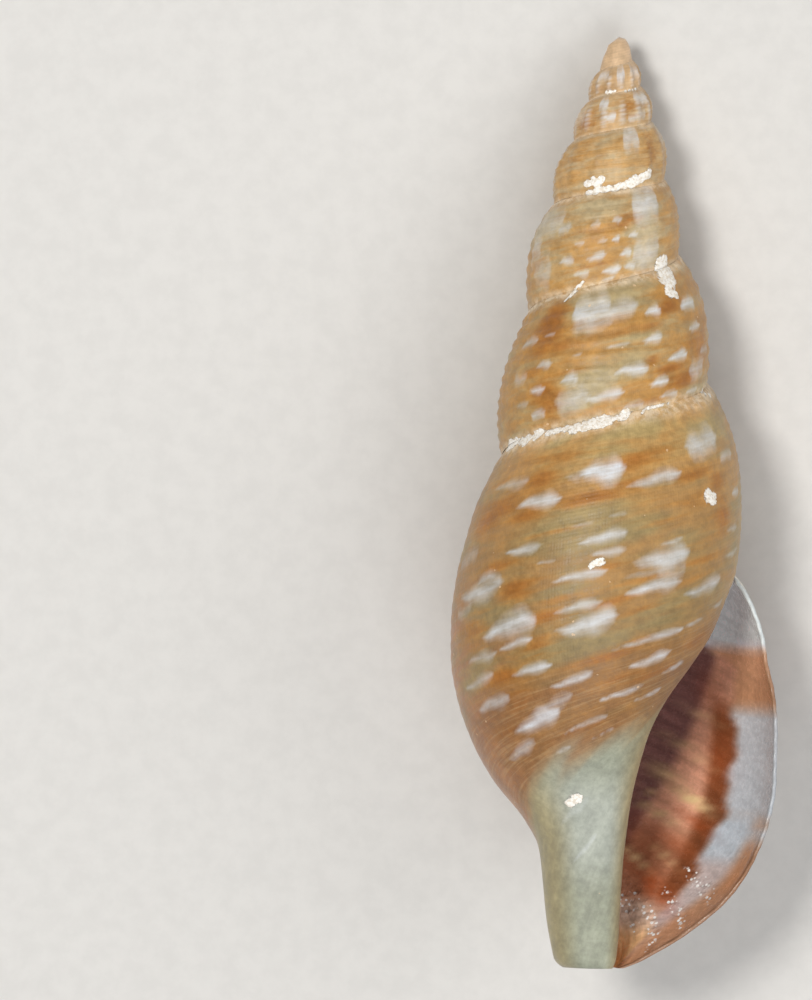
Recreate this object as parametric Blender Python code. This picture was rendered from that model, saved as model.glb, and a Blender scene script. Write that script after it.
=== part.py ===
"""A varicose Daphnella seashell, 16 mm long, lying on its back with its aperture up.

The shell is one closed solid. Its surface is described round the coiling axis: a turn
number runs from -7 at the apex to 0 at the outer lip, a depth runs down the axis from the
apex, and a radius stands out from the axis. Each whorl begins at its suture, the helical
line where it is stuck to the whorl above.
"""
import bpy
import bmesh
import numpy as np
from math import cos, pi, radians, sin
from mathutils import Matrix

MM = 0.001

# Driving sizes, in millimetres
LENGTH = 16.0
FIRST_TURN = -7.0
WALL = 0.23
LIP_EDGE = 0.08
LIP_THICKENS_OVER = 0.12
CAVITY_TURNS = 0.94
END_MARGIN = 0.30
FOOT_OFFSET = 0.15

# The roof of the hollow lies this many walls below the suture, reached over this part of a turn
ROOF_WALLS = 1.4
ROOF_DROPS_OVER = 0.05

# A slanting wall measures up to this many walls across, and takes at most this share of the
# room inside; its slant is measured over a step of this depth
SLANTED_WALLS = 1.8
WALL_SHARE = 0.5
SLOPE_STEP = 0.05

# How the shell lies, in degrees: turned in plan, rolled round its axis, spire tipped down
PLAN_TILT = 1.28
ROLL = 0.0
PITCH = 10.7
FLAT_DEPTH = 0.06

# Blocks that cut the end of the canal and the ground away
END_BLOCK = (8.0, 8.0, 4.0)
GROUND_BLOCK = (30.0, 30.0, 4.0)

# How finely the surface is divided
STEPS = 36
WHORL_ROWS = 8
BASE_ROWS = 20

# The suture, one place for each half turn: turn, depth, radius
SUTURE = (
    (-7.0, 0.03, 0.11), (-6.5, 0.15, 0.15), (-6.0, 0.38, 0.23), (-5.5, 0.60, 0.32),
    (-5.0, 0.83, 0.38), (-4.5, 1.12, 0.48), (-4.0, 1.43, 0.58), (-3.5, 1.82, 0.73),
    (-3.0, 2.42, 0.82), (-2.5, 2.91, 1.04), (-2.0, 3.73, 1.09), (-1.5, 4.73, 1.43),
    (-1.0, 5.91, 1.63), (-0.5, 7.22, 1.85), (0.0, 9.20, 2.18),
)

# How far each whorl bulges, as a share of its suture's radius, and how low it bulges most
WHORL_BULGE = (
    (-7.0, 0.21), (-3.5, 0.21), (-3.0, 0.16), (-2.5, 0.23), (-2.0, 0.23), (-1.5, 0.17),
    (-1.0, 0.225),
)
SWELL_POWER = 0.9
WHORL_LEAN = ((-7.0, 0.8), (-2.0, 0.8), (-1.5, 1.1), (-1.0, 0.8))

# The last whorl at each quarter turn, from the suture (0) to the end of the canal (1):
# share of the way down, radius
COVERED = (9.20 - 5.91) / (LENGTH - 5.91)
PARIETAL = (
    (COVERED, 2.18), (0.376, 1.97), (0.42, 1.775), (0.472, 1.41), (0.537, 0.89),
    (0.579, 0.685), (0.65, 0.55), (0.744, 0.39), (0.82, 0.30), (0.94, 0.285), (1.0, 0.22),
)
FRONT = (
    (0.0, 1.74), (0.05, 1.99), (0.10, 2.17), (0.17, 2.355), (0.24, 2.46), (0.31, 2.50),
    (0.38, 2.44), (0.44, 2.27), (0.50, 1.99), (0.56, 1.61), (0.61, 1.28), (0.66, 1.03),
    (0.72, 0.84), (0.80, 0.72), (0.90, 0.64), (1.0, 0.54),
)
FAR_SIDE = (
    (0.0, 1.85), (0.045, 2.06), (0.10, 2.27), (0.16, 2.42), (0.24, 2.59), (0.32, 2.66),
    (0.40, 2.65), (0.475, 2.54), (0.555, 2.27), (0.632, 1.86), (0.71, 1.28), (0.761, 1.05),
    (0.83, 0.97), (0.91, 0.90), (1.0, 0.75),
)
BACK = (
    (0.0, 2.01), (0.05, 2.30), (0.10, 2.46), (0.17, 2.60), (0.25, 2.70), (0.33, 2.75),
    (0.42, 2.76), (0.50, 2.70), (0.58, 2.54), (0.65, 2.29), (0.72, 1.93), (0.80, 1.47),
    (0.87, 1.15), (0.93, 0.96), (1.0, 0.80),
)
LIP = (
    (0.0, 2.18), (0.07, 2.51), (0.16, 2.73), (0.22, 2.80), (0.30, 2.94), (0.40, 3.01),
    (0.525, 3.00), (0.625, 2.89), (0.727, 2.635), (0.778, 2.44), (0.828, 2.175),
    (0.88, 1.785), (0.93, 1.325), (0.965, 0.93), (0.985, 0.70), (1.0, 0.50),
)

# How deep the hollow reaches at each turn
HOLLOW_END = (
    (-1.0, 10.9), (-0.75, 12.0), (-0.6, 12.6), (-0.5, 13.3), (-0.4, 14.5), (-0.3, 15.8),
    (-0.22, LENGTH + END_MARGIN), (0.0, LENGTH + END_MARGIN),
)


def smooth_curve(points):
    """A curve through points that never overshoots between them (monotone cubic)."""
    x = np.array([p[0] for p in points], dtype=float)
    y = np.array([p[1] for p in points], dtype=float)
    width = np.diff(x)
    slope = np.diff(y) / width
    tangent = np.zeros(len(x))
    tangent[0], tangent[-1] = slope[0], slope[-1]
    for i in range(1, len(x) - 1):
        if slope[i - 1] * slope[i] > 0:
            near, far = 2 * width[i] + width[i - 1], width[i] + 2 * width[i - 1]
            tangent[i] = (near + far) / (near / slope[i - 1] + far / slope[i])

    def value(at):
        if at >= x[-1]:
            return y[-1] + tangent[-1] * (at - x[-1])
        i = int(np.clip(np.searchsorted(x, at, side="right") - 1, 0, len(x) - 2))
        t = (at - x[i]) / width[i]
        return (
            y[i] * (1 + 2 * t) * (1 - t) ** 2
            + width[i] * tangent[i] * t * (1 - t) ** 2
            + y[i + 1] * t * t * (3 - 2 * t)
            + width[i] * tangent[i + 1] * t * t * (t - 1)
        )

    return value


suture_depth = smooth_curve([(turn, depth) for turn, depth, radius in SUTURE])
suture_radius = smooth_curve([(turn, radius) for turn, depth, radius in SUTURE])
whorl_bulge = smooth_curve(WHORL_BULGE)
whorl_lean = smooth_curve(WHORL_LEAN)
parietal_radius = smooth_curve(PARIETAL)
hollow_end = smooth_curve(HOLLOW_END)


def ease(t):
    """0 to 1 with no corner at either end."""
    t = min(max(t, 0.0), 1.0)
    return t * t * (3 - 2 * t)


def spire_point(turn, across):
    """Depth and radius on a spire whorl; across runs from 0 at its suture to 1 at the next."""
    depth = suture_depth(turn) * (1 - across) + suture_depth(turn + 1) * across
    straight = suture_radius(turn) * (1 - across) + suture_radius(turn + 1) * across
    swell = max(sin(pi * across ** whorl_lean(turn)), 0.0) ** SWELL_POWER
    return depth, straight + whorl_bulge(turn) * suture_radius(turn) * swell


def first_quarter_radius(down):
    """The last whorl where it begins: a spire whorl first, then the wall inside the aperture."""
    if down <= COVERED:
        return spire_point(-1.0, down / COVERED)[1]
    return parietal_radius(down)


QUARTERS = (
    first_quarter_radius,
    smooth_curve(FRONT),
    smooth_curve(FAR_SIDE),
    smooth_curve(BACK),
    smooth_curve(LIP),
)


def body_radius(turn, down):
    """Radius of the last whorl, down from its suture, by the quarter-turn profiles."""
    radii = [(-1.0 + 0.25 * i, profile(down)) for i, profile in enumerate(QUARTERS)]
    return smooth_curve(radii)(turn)


def body_point(turn, down):
    """Depth and radius on the last whorl."""
    start = suture_depth(turn)
    return start + down * (LENGTH - start), body_radius(turn, down)


def radius_at_depth(turn, depth):
    """Radius of the last whorl at a depth along the axis."""
    start = suture_depth(turn)
    return body_radius(turn, (depth - start) / (LENGTH - start))


def place(turn, depth, radius):
    """A point of the upright shell, in metres: apex up, aperture towards -Y, lip towards +X."""
    around = -2 * pi * turn
    return (radius * cos(around) * MM, radius * sin(around) * MM, -depth * MM)


def wall_thickness(turn):
    """The outer wall is thin at the lip's edge and thicker behind it."""
    return LIP_EDGE + (WALL - LIP_EDGE) * ease(-turn / LIP_THICKENS_OVER)


def hollow_section(turn, outer_rows, inner_rows):
    """One section of the hollow: its outer side, top to bottom, then its inner side."""
    wall = wall_thickness(turn)
    top = suture_depth(turn) + ROOF_WALLS * wall * ease(-turn / ROOF_DROPS_OVER)
    end = hollow_end(turn)
    shrink = suture_radius(turn) / suture_radius(0.0)
    lip_top = suture_depth(0.0)
    first_top = suture_depth(-1.0)

    def inner_radius(share):
        depth = lip_top + share * (LENGTH + END_MARGIN - lip_top)
        return first_quarter_radius((depth - first_top) / (LENGTH - first_top)) * shrink

    outer = []
    for share in outer_rows[1:]:
        depth = top + share * (end - top)
        radius = radius_at_depth(turn, depth)
        slope = (radius_at_depth(turn, depth + SLOPE_STEP) - radius) / SLOPE_STEP
        across_wall = wall * min((1 + slope ** 2) ** 0.5, SLANTED_WALLS)
        core = inner_radius(share)
        outer.append((depth, max(radius - across_wall, radius - WALL_SHARE * (radius - core))))
    inner = [(top + share * (end - top), inner_radius(share)) for share in inner_rows[1:]]
    corner = (top, inner_radius(0.0))
    return corner, outer, inner


def shell_mesh():
    """The whole surface: spire, last whorl, rim of the lip, hollow and closing faces."""
    mesh = bmesh.new()
    columns = round(-FIRST_TURN * STEPS)
    body_start = columns - STEPS
    turns = [FIRST_TURN + k / STEPS for k in range(columns + 1)]
    deepest = (LENGTH + END_MARGIN - suture_depth(-1.0)) / (LENGTH - suture_depth(-1.0))
    whorl_down = [COVERED * j / WHORL_ROWS for j in range(WHORL_ROWS + 1)]
    base_down = [
        COVERED + (deepest - COVERED) * i / BASE_ROWS for i in range(1, BASE_ROWS + 1)
    ]
    downs = whorl_down + base_down
    last = len(downs) - 1
    grid = {}

    def add(turn, depth, radius):
        return mesh.verts.new(place(turn, depth, radius))

    def faces_between(a, b):
        """A strip of quads between two rows of corners, which may share end corners."""
        for i in range(len(a) - 1):
            corners = []
            for corner in (a[i], a[i + 1], b[i + 1], b[i]):
                if corner not in corners:
                    corners.append(corner)
            if len(corners) > 2:
                mesh.faces.new(corners)

    # Last whorl, stretched a little so that each column ends at the same depth
    for k in range(body_start, columns + 1):
        turn = turns[k]
        start = suture_depth(turn)
        stretch = (LENGTH + END_MARGIN - start) / (LENGTH - start) / deepest
        for j, down in enumerate(downs):
            if k == columns and j == 0:
                grid[k, 0] = grid[body_start, WHORL_ROWS]
            else:
                grid[k, j] = add(turn, *body_point(turn, down * stretch))

    # Spire, from the last whorl up; each whorl ends on the suture of the next
    for k in range(body_start - 1, -1, -1):
        for j in range(WHORL_ROWS):
            grid[k, j] = add(turns[k], *spire_point(turns[k], j / WHORL_ROWS))
        grid[k, WHORL_ROWS] = grid[k + STEPS, 0]

    def column(k, rows):
        return [grid[k, j] for j in range(rows + 1)]

    for k in range(body_start):
        faces_between(column(k, WHORL_ROWS), column(k + 1, WHORL_ROWS))
    for k in range(body_start, columns):
        faces_between(column(k, last), column(k + 1, last))

    # Apex
    apex = mesh.verts.new((0.0, 0.0, 0.0))
    for k in range(STEPS):
        mesh.faces.new((apex, grid[k, 0], grid[k + 1, 0]))
    for j in range(WHORL_ROWS):
        mesh.faces.new((apex, grid[0, j + 1], grid[0, j]))

    # Hollow, from the aperture inwards
    outer_rows = [down / deepest for down in downs]
    depths = [-grid[body_start, j].co.z / MM for j in range(WHORL_ROWS, last + 1)]
    inner_rows = [(d - depths[0]) / (depths[-1] - depths[0]) for d in depths]
    parietal = [grid[body_start, j] for j in range(WHORL_ROWS, last + 1)]
    sections = round(CAVITY_TURNS * STEPS)
    outer_before, inner_before = None, parietal
    for s in range(sections + 1):
        turn = -s / STEPS
        corner, outer, inner = hollow_section(turn, outer_rows, inner_rows)
        if s == 0:
            outer_side = [parietal[0]] + [add(turn, *p) for p in outer]
            faces_between(column(columns, last), outer_side)
        else:
            top = add(turn, *corner)
            outer_side = [top] + [add(turn, *p) for p in outer]
            inner_side = [top] + [add(turn, *p) for p in inner]
            faces_between(outer_before, outer_side)
            faces_between(inner_side, inner_before)
            mesh.faces.new(
                (outer_before[-1], outer_side[-1], inner_side[-1], inner_before[-1])
            )
            inner_before = inner_side
        if s == 0:
            rim_end = outer_side[-1]
        outer_before = outer_side
    faces_between(outer_before[:WHORL_ROWS + 1], [inner_before[0]] * (WHORL_ROWS + 1))
    faces_between(outer_before[WHORL_ROWS:], inner_before)

    # Foot of the pillar, cut off square later
    ring = [grid[k, last] for k in range(body_start, columns + 1)] + [rim_end]
    foot = mesh.verts.new((0.0, FOOT_OFFSET * MM, -(LENGTH + END_MARGIN) * MM))
    for i in range(len(ring)):
        mesh.faces.new((foot, ring[i], ring[(i + 1) % len(ring)]))

    bmesh.ops.triangulate(mesh, faces=mesh.faces[:])
    bmesh.ops.recalc_face_normals(mesh, faces=mesh.faces[:])
    data = bpy.data.meshes.new("shell")
    mesh.to_mesh(data)
    mesh.free()
    return data


def shell_material():
    """Glossy tan shell."""
    material = bpy.data.materials.new("shell")
    material.use_nodes = True
    shader = material.node_tree.nodes["Principled BSDF"]
    shader.inputs["Base Color"].default_value = (0.62, 0.40, 0.20, 1.0)
    shader.inputs["Roughness"].default_value = 0.35
    shader.inputs["Metallic"].default_value = 0.0
    return material


def lying_matrix():
    """Turns the upright shell onto its back, apex towards +Y and aperture up."""
    on_back = Matrix.Rotation(-pi / 2, 4, "X")
    roll = Matrix.Rotation(radians(ROLL), 4, "Y")
    plan = Matrix.Rotation(radians(-PLAN_TILT), 4, "Z")
    pitch = Matrix.Rotation(radians(-PITCH), 4, "X")
    return pitch @ plan @ roll @ on_back


def block(name, collection, size, centre):
    """A box that cuts; size and centre in millimetres."""
    bpy.ops.mesh.primitive_cube_add(size=1.0)
    cutter = bpy.context.object
    cutter.name = name
    for vertex in cutter.data.vertices:
        vertex.co = [(v * s + c) * MM for v, s, c in zip(vertex.co, size, centre)]
    for owner in list(cutter.users_collection):
        owner.objects.unlink(cutter)
    collection.objects.link(cutter)
    cutter.hide_render = True
    cutter.display_type = "WIRE"
    return cutter


def cut(target, cutter):
    """Take the cutter out of the target."""
    boolean = target.modifiers.new(cutter.name, "BOOLEAN")
    boolean.operation = "DIFFERENCE"
    boolean.solver = "EXACT"
    boolean.object = cutter


def evaluated_corners(target):
    """Lowest and highest corner of the finished mesh, in the world."""
    bpy.context.view_layer.update()
    seen = target.evaluated_get(bpy.context.evaluated_depsgraph_get())
    points = np.array([seen.matrix_world @ v.co for v in seen.data.vertices])
    return points.min(axis=0), points.max(axis=0)


def build():
    for old in list(bpy.data.objects):
        bpy.data.objects.remove(old)
    parts = bpy.data.collections.new("daphnella_varicosa_shell")
    cutters = bpy.data.collections.new("cutters")
    for collection in (parts, cutters):
        bpy.context.scene.collection.children.link(collection)

    data = shell_mesh()
    data.transform(lying_matrix())
    data.shade_smooth()
    data.materials.append(shell_material())
    shell = bpy.data.objects.new("shell", data)
    parts.objects.link(shell)

    # The end of the pillar and canal, cut square across the axis
    tip = block("canal_end", cutters, END_BLOCK, (0, 0, -LENGTH - END_BLOCK[2] / 2))
    tip.data.transform(lying_matrix())
    tip.parent = shell
    cut(shell, tip)

    # The flat spot that it rests on: the shell sinks a little into the ground
    low, high = evaluated_corners(shell)
    middle = (low + high) / 2
    shell.location = (-middle[0], -middle[1], -low[2] - FLAT_DEPTH * MM)
    ground = block("ground", cutters, GROUND_BLOCK, (0, 0, -GROUND_BLOCK[2] / 2))
    cut(shell, ground)


build()
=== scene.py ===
"""A varicose Daphnella seashell on a pale floor, aperture up, seen from straight in front.

The surface is worked out round the coiling axis from the same sizes as the solid: a turn
number from -7 at the apex to 0 at the outer lip, a depth down the axis from the apex, and a
radius out from the axis. Finer cords, ribs, beads and crusts are added to it. Each corner of
the mesh carries its colours and how much of each mark it has, for the materials to mix.
"""

from math import pi, radians

import bpy
import bmesh
import numpy as np
from mathutils import Matrix, Vector


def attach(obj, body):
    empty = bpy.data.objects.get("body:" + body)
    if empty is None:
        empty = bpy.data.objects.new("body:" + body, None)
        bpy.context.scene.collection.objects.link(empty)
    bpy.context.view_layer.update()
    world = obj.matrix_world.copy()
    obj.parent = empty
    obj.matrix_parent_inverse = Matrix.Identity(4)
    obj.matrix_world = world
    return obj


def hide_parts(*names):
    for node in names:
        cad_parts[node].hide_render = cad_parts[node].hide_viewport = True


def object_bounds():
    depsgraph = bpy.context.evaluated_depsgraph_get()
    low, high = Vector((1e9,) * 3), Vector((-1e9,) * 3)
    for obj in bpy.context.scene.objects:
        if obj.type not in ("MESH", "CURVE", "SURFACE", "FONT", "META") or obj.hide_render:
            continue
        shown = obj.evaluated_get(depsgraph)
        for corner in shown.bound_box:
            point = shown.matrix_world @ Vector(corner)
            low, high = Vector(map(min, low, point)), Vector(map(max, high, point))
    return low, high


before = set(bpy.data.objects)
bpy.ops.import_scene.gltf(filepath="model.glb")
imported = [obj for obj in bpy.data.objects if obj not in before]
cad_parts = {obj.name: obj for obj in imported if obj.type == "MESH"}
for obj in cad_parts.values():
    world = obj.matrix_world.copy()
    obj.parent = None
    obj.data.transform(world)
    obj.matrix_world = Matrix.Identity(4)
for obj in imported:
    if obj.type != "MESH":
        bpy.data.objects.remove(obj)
solid_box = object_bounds()

# One millimetre, in metres
MM = 0.001

# Driving sizes, in millimetres
LENGTH = 16.0
FIRST_TURN = -7.0
WALL = 0.23
LIP_EDGE = 0.07
LIP_THICKENS_OVER = 0.12
CAVITY_TURNS = 0.94
END_MARGIN = 0.30
FLAT_DEPTH = 0.06

# How the shell lies, in degrees
PLAN_TILT = 1.28
ROLL = 0.0
PITCH = 10.7

# How finely the surface is divided
STEPS = 192
COVERED_ROWS = 60
BASE_ROWS = 112
HOLLOW_OUTER_ROWS = 64
HOLLOW_INNER_ROWS = 40

# The suture, one place for each half turn: turn, depth, radius
SUTURE = (
    (-7.0, 0.03, 0.11), (-6.5, 0.15, 0.15), (-6.0, 0.38, 0.23), (-5.5, 0.60, 0.32),
    (-5.0, 0.83, 0.38), (-4.5, 1.12, 0.48), (-4.0, 1.43, 0.58), (-3.5, 1.82, 0.73),
    (-3.0, 2.42, 0.82), (-2.5, 2.91, 1.04), (-2.0, 3.73, 1.09), (-1.5, 4.73, 1.43),
    (-1.0, 5.91, 1.63), (-0.5, 7.22, 1.85), (0.0, 9.20, 2.18),
)

# How far each whorl bulges, as a share of its suture's radius, how low it bulges most, and
# how full the bulge is: a lower power is fuller
WHORL_BULGE = (
    (-7.0, 0.21), (-3.5, 0.21), (-3.0, 0.16), (-2.5, 0.23), (-2.0, 0.23), (-1.5, 0.17),
    (-1.0, 0.225),
)
WHORL_LEAN = ((-7.0, 0.8), (-2.0, 0.8), (-1.5, 1.1), (-1.0, 0.8))
BULGE_FULLNESS = 0.9

# The last whorl at each quarter turn, from the suture (0) to the end of the canal (1):
# share of the way down, radius
COVERED = (9.20 - 5.91) / (LENGTH - 5.91)
PARIETAL = (
    (COVERED, 2.18), (0.376, 1.97), (0.42, 1.775), (0.472, 1.41), (0.537, 0.89),
    (0.579, 0.685), (0.65, 0.55), (0.744, 0.39), (0.82, 0.30), (0.94, 0.285), (1.0, 0.22),
)
FRONT = (
    (0.0, 1.74), (0.05, 1.99), (0.10, 2.17), (0.17, 2.355), (0.24, 2.46), (0.31, 2.50),
    (0.38, 2.44), (0.44, 2.27), (0.50, 1.99), (0.56, 1.61), (0.61, 1.28), (0.66, 1.03),
    (0.72, 0.84), (0.80, 0.72), (0.90, 0.64), (1.0, 0.54),
)
FAR_SIDE = (
    (0.0, 1.85), (0.045, 2.06), (0.10, 2.27), (0.16, 2.42), (0.24, 2.59), (0.32, 2.66),
    (0.40, 2.65), (0.475, 2.54), (0.555, 2.27), (0.632, 1.86), (0.71, 1.28), (0.761, 1.05),
    (0.83, 0.97), (0.91, 0.90), (1.0, 0.75),
)
BACK = (
    (0.0, 2.01), (0.05, 2.30), (0.10, 2.46), (0.17, 2.60), (0.25, 2.70), (0.33, 2.75),
    (0.42, 2.76), (0.50, 2.70), (0.58, 2.54), (0.65, 2.29), (0.72, 1.93), (0.80, 1.47),
    (0.87, 1.15), (0.93, 0.96), (1.0, 0.80),
)
LIP = (
    (0.0, 2.18), (0.07, 2.51), (0.16, 2.73), (0.22, 2.80), (0.30, 2.94), (0.40, 3.01),
    (0.525, 3.00), (0.625, 2.89), (0.727, 2.635), (0.778, 2.44), (0.828, 2.175),
    (0.88, 1.785), (0.93, 1.325), (0.965, 0.93), (0.985, 0.70), (1.0, 0.50),
)
HOLLOW_END = (
    (-1.0, 10.9), (-0.75, 12.0), (-0.6, 12.6), (-0.5, 13.3), (-0.4, 14.5), (-0.3, 15.8),
    (-0.22, LENGTH + END_MARGIN), (0.0, LENGTH + END_MARGIN),
)

# Growth: the shell grows by this much a turn, and each stage of it is a share of this length
GROWTH = 1.555
APERTURE = 6.80
SPIRE_SHARE = 0.75

# The photograph's frame: where each view has its apex, and how far its axis leans
PHOTO_SIZE = (812, 1000)
PIXEL = LENGTH / 931
APEX_PIXEL = (619, 37)
BACK_APEX_PIXEL = (207.5, 35)
BACK_TILT = -0.22

# Marks, placed from the photograph: middle x and y, length along the cords and
# height across them, in its pixels. White marks have a blunt right end and a pointed left one.
WHITE_FRONT = (
    (597, 472, 48, 22, 1.3), (582, 474, 40, 16, 0.5), (650, 481, 56, 13, 0.9),
    (701, 444, 27, 22, 0.9), (724, 455, 12, 10, 0.6), (671, 573, 24, 26, 0.45),
    (535, 502, 44, 14), (509, 486, 34, 13, 0.5), (735, 493, 8, 7, 0.7), (600, 539, 52, 12, 0.8),
    (521, 550, 36, 10, 0.8), (603, 552, 38, 9, 0.65), (659, 559, 60, 22, 0.9),
    (649, 587, 62, 13, 0.9), (701, 587, 42, 15, 0.7), (573, 577, 56, 9, 0.8),
    (476, 592, 38, 22, 0.75), (486, 577, 14, 12, 0.6), (574, 606, 46, 10, 0.8),
    (582, 623, 62, 20), (505, 628, 52, 24, 0.9), (512, 644, 32, 9, 0.75),
    (468, 558, 18, 20, 0.4), (463, 612, 14, 16, 0.35),
    (643, 638, 78, 8, 0.75), (645, 658, 46, 10, 0.9), (529, 667, 38, 10, 0.8),
    (569, 680, 46, 8, 0.8), (478, 657, 26, 13, 0.5), (476, 682, 28, 11, 0.5),
    (616, 692, 50, 6, 0.8), (646, 694, 30, 5, 0.8), (551, 700, 38, 13, 0.5),
    (491, 705, 30, 13, 0.7), (531, 720, 46, 16), (580, 722, 48, 6, 0.55),
    (728, 554, 18, 7, 0.6), (730, 528, 14, 7, 0.6), (519, 749, 26, 12, 0.6),
    (561, 750, 16, 5, 0.5), (670, 667, 24, 6, 0.7), (715, 606, 16, 6, 0.6),
    (664, 541, 30, 6, 0.5), (612, 514, 26, 5, 0.4), (575, 524, 34, 5, 0.4),
    (541, 560, 24, 5, 0.4), (688, 622, 26, 5, 0.5), (600, 733, 26, 4, 0.45),
    # (583, 848) is a painted highlight on the pillar
    (640, 572, 50, 10, 0.35), (583, 848, 24, 9, 0.45), (572, 812, 30, 14, 0.3),
)
WHITE_SPIRE = (
    (644, 205, 24, 34, 0.85), (645, 254, 24, 34, 0.55), (589, 313, 32, 30, 0.9),
    (608, 312, 58, 20, 0.75), (594, 385, 40, 34, 0.2),
    (588, 326, 44, 12, 0.6), (649, 314, 17, 11), (650, 340, 22, 10, 0.8), (686, 305, 12, 10),
    (694, 327, 9, 7, 0.8), (675, 357, 21, 10), (629, 370, 36, 12), (656, 384, 21, 10),
    (695, 368, 13, 20, 0.6), (567, 381, 17, 13, 0.9), (600, 398, 40, 11, 0.9),
    (569, 402, 28, 24, 0.6), (541, 366, 15, 9, 0.8), (534, 391, 15, 9, 0.8),
    (536, 414, 11, 9, 0.8), (530, 342, 11, 10, 0.6), (667, 396, 19, 8, 0.7),
    (547, 336, 12, 5, 0.5), (614, 348, 26, 5, 0.5), (576, 355, 8, 4, 0.5),
    (703, 349, 8, 7, 0.6), (520, 381, 10, 14, 0.4), (630, 407, 24, 9, 0.6),
    (690, 392, 14, 6, 0.6), (521, 405, 12, 9, 0.45), (563, 231, 10, 9, 0.6),
    (593, 225, 11, 8, 0.55), (616, 222, 10, 7, 0.8), (577, 245, 11, 6, 0.5),
    (599, 242, 10, 6, 0.5), (614, 240, 9, 6), (630, 237, 10, 6, 0.9), (594, 259, 19, 8),
    (624, 254, 13, 8), (566, 263, 14, 8, 0.8), (608, 271, 20, 8), (629, 267, 13, 7),
    (578, 276, 17, 8, 0.6), (607, 280, 12, 5, 0.6), (603, 106, 8, 12, 0.9),
    (640, 99, 11, 11, 0.9), (608, 117, 14, 9), (630, 140, 14, 22, 0.8),
    (604, 77, 8, 8, 0.8), (620, 75, 8, 13, 0.9), (634, 72, 7, 10, 0.7),
    # From (547, 222) to the end: painted light, the pale rims where light shines through the thin
    # edges of the spire whorls
    (632, 119, 9, 7, 0.7), (641, 115, 9, 9, 0.6), (547, 222, 20, 30, 0.45),
    (661, 132, 10, 28, 0.5), (540, 272, 12, 40, 0.4), (559, 155, 8, 26, 0.5),
    (579, 118, 8, 22, 0.4), (535, 250, 8, 40, 0.5),
)
WHITE_BACK = (
    (159, 262, 38, 28), (143, 341, 28, 36), (169, 345, 14, 10), (181, 177, 20, 24),
    (187, 215, 42, 18), (219, 216, 14, 8), (224, 262, 13, 8), (244, 253, 10, 6),
    (197, 309, 26, 8), (228, 319, 26, 7), (206, 373, 34, 42), (271, 360, 28, 24),
    (293, 366, 10, 8), (199, 468, 32, 42), (157, 470, 22, 12), (110, 407, 20, 12),
    (129, 413, 18, 7), (176, 437, 18, 9), (272, 437, 36, 11), (109, 481, 24, 9),
    (245, 575, 58, 32), (143, 599, 28, 16), (132, 632, 34, 12), (203, 661, 50, 14),
    (106, 690, 34, 7), (258, 680, 46, 16), (230, 724, 62, 18), (298, 627, 34, 20),
    (125, 757, 30, 10), (172, 771, 50, 8), (222, 784, 54, 11), (219, 808, 32, 6),
    (269, 808, 32, 5), (329, 518, 20, 26), (203, 120, 10, 15), (195, 89, 7, 7),
    (219, 84, 7, 8), (209, 149, 8, 10), (180, 695, 26, 5), (300, 700, 26, 10),
    (160, 645, 22, 5), (310, 570, 22, 12), (240, 760, 40, 6), (190, 740, 30, 5),
    (265, 152, 9, 30), (284, 250, 9, 44), (240, 400, 24, 8), (300, 400, 16, 8),
)

# Softer patches: middle x and y, length and height, strength
RUST_FRONT = (
    (632, 462, 52, 22, 0.9), (588, 497, 62, 15, 1.0), (538, 480, 34, 26, 0.9),
    (523, 515, 34, 16, 0.8), (505, 507, 30, 22, 0.7), (512, 588, 30, 24, 1.0),
    (501, 565, 36, 14, 0.7), (541, 617, 34, 13, 0.9), (613, 600, 52, 11, 0.8),
    (603, 566, 50, 9, 0.7), (473, 631, 26, 30, 0.7), (501, 675, 32, 22, 0.9),
    (517, 696, 28, 26, 0.8), (604, 655, 76, 10, 0.8), (650, 672, 50, 9, 0.7),
    (573, 731, 70, 11, 0.7), (509, 731, 28, 14, 0.7), (690, 474, 34, 16, 0.8),
    (721, 515, 16, 40, 0.7), (700, 560, 40, 8, 0.6), (620, 674, 60, 7, 0.7),
    (556, 597, 34, 8, 0.6), (488, 520, 24, 26, 0.8), (662, 520, 46, 8, 0.45),
    (545, 335, 28, 60, 0.9), (543, 395, 24, 44, 0.7), (536, 640, 30, 20, 0.6),
    (648, 455, 60, 14, 0.6), (620, 485, 70, 10, 0.5), (690, 500, 40, 16, 0.45),
    (560, 455, 60, 18, 0.5), (640, 580, 60, 8, 0.4), (525, 660, 50, 16, 0.5),
    (549, 530, 46, 9, 0.5), (640, 608, 44, 8, 0.6), (716, 480, 16, 20, 0.7),
    (560, 760, 60, 9, 0.6), (630, 640, 40, 6, 0.5), (695, 640, 22, 20, 0.7),
    (551, 325, 24, 48, 1.3), (562, 348, 40, 18, 0.7), (627, 222, 24, 16, 0.9),
    (596, 234, 70, 10, 0.4), (666, 308, 26, 20, 0.9), (650, 328, 44, 10, 0.6),
    (668, 370, 30, 12, 1.1), (650, 361, 16, 12, 0.8), (682, 380, 28, 18, 1.0),
    (616, 335, 60, 12, 0.6), (548, 405, 26, 32, 0.9), (530, 372, 24, 14, 0.6),
    (644, 404, 60, 8, 0.6), (570, 370, 40, 8, 0.5), (584, 122, 16, 20, 0.7),
    (628, 107, 14, 18, 0.6), (650, 150, 12, 30, 0.5), (600, 90, 24, 8, 0.5),
    (700, 340, 22, 40, 0.6), (596, 267, 70, 5, 0.5), (575, 160, 30, 30, 0.3),
)
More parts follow.
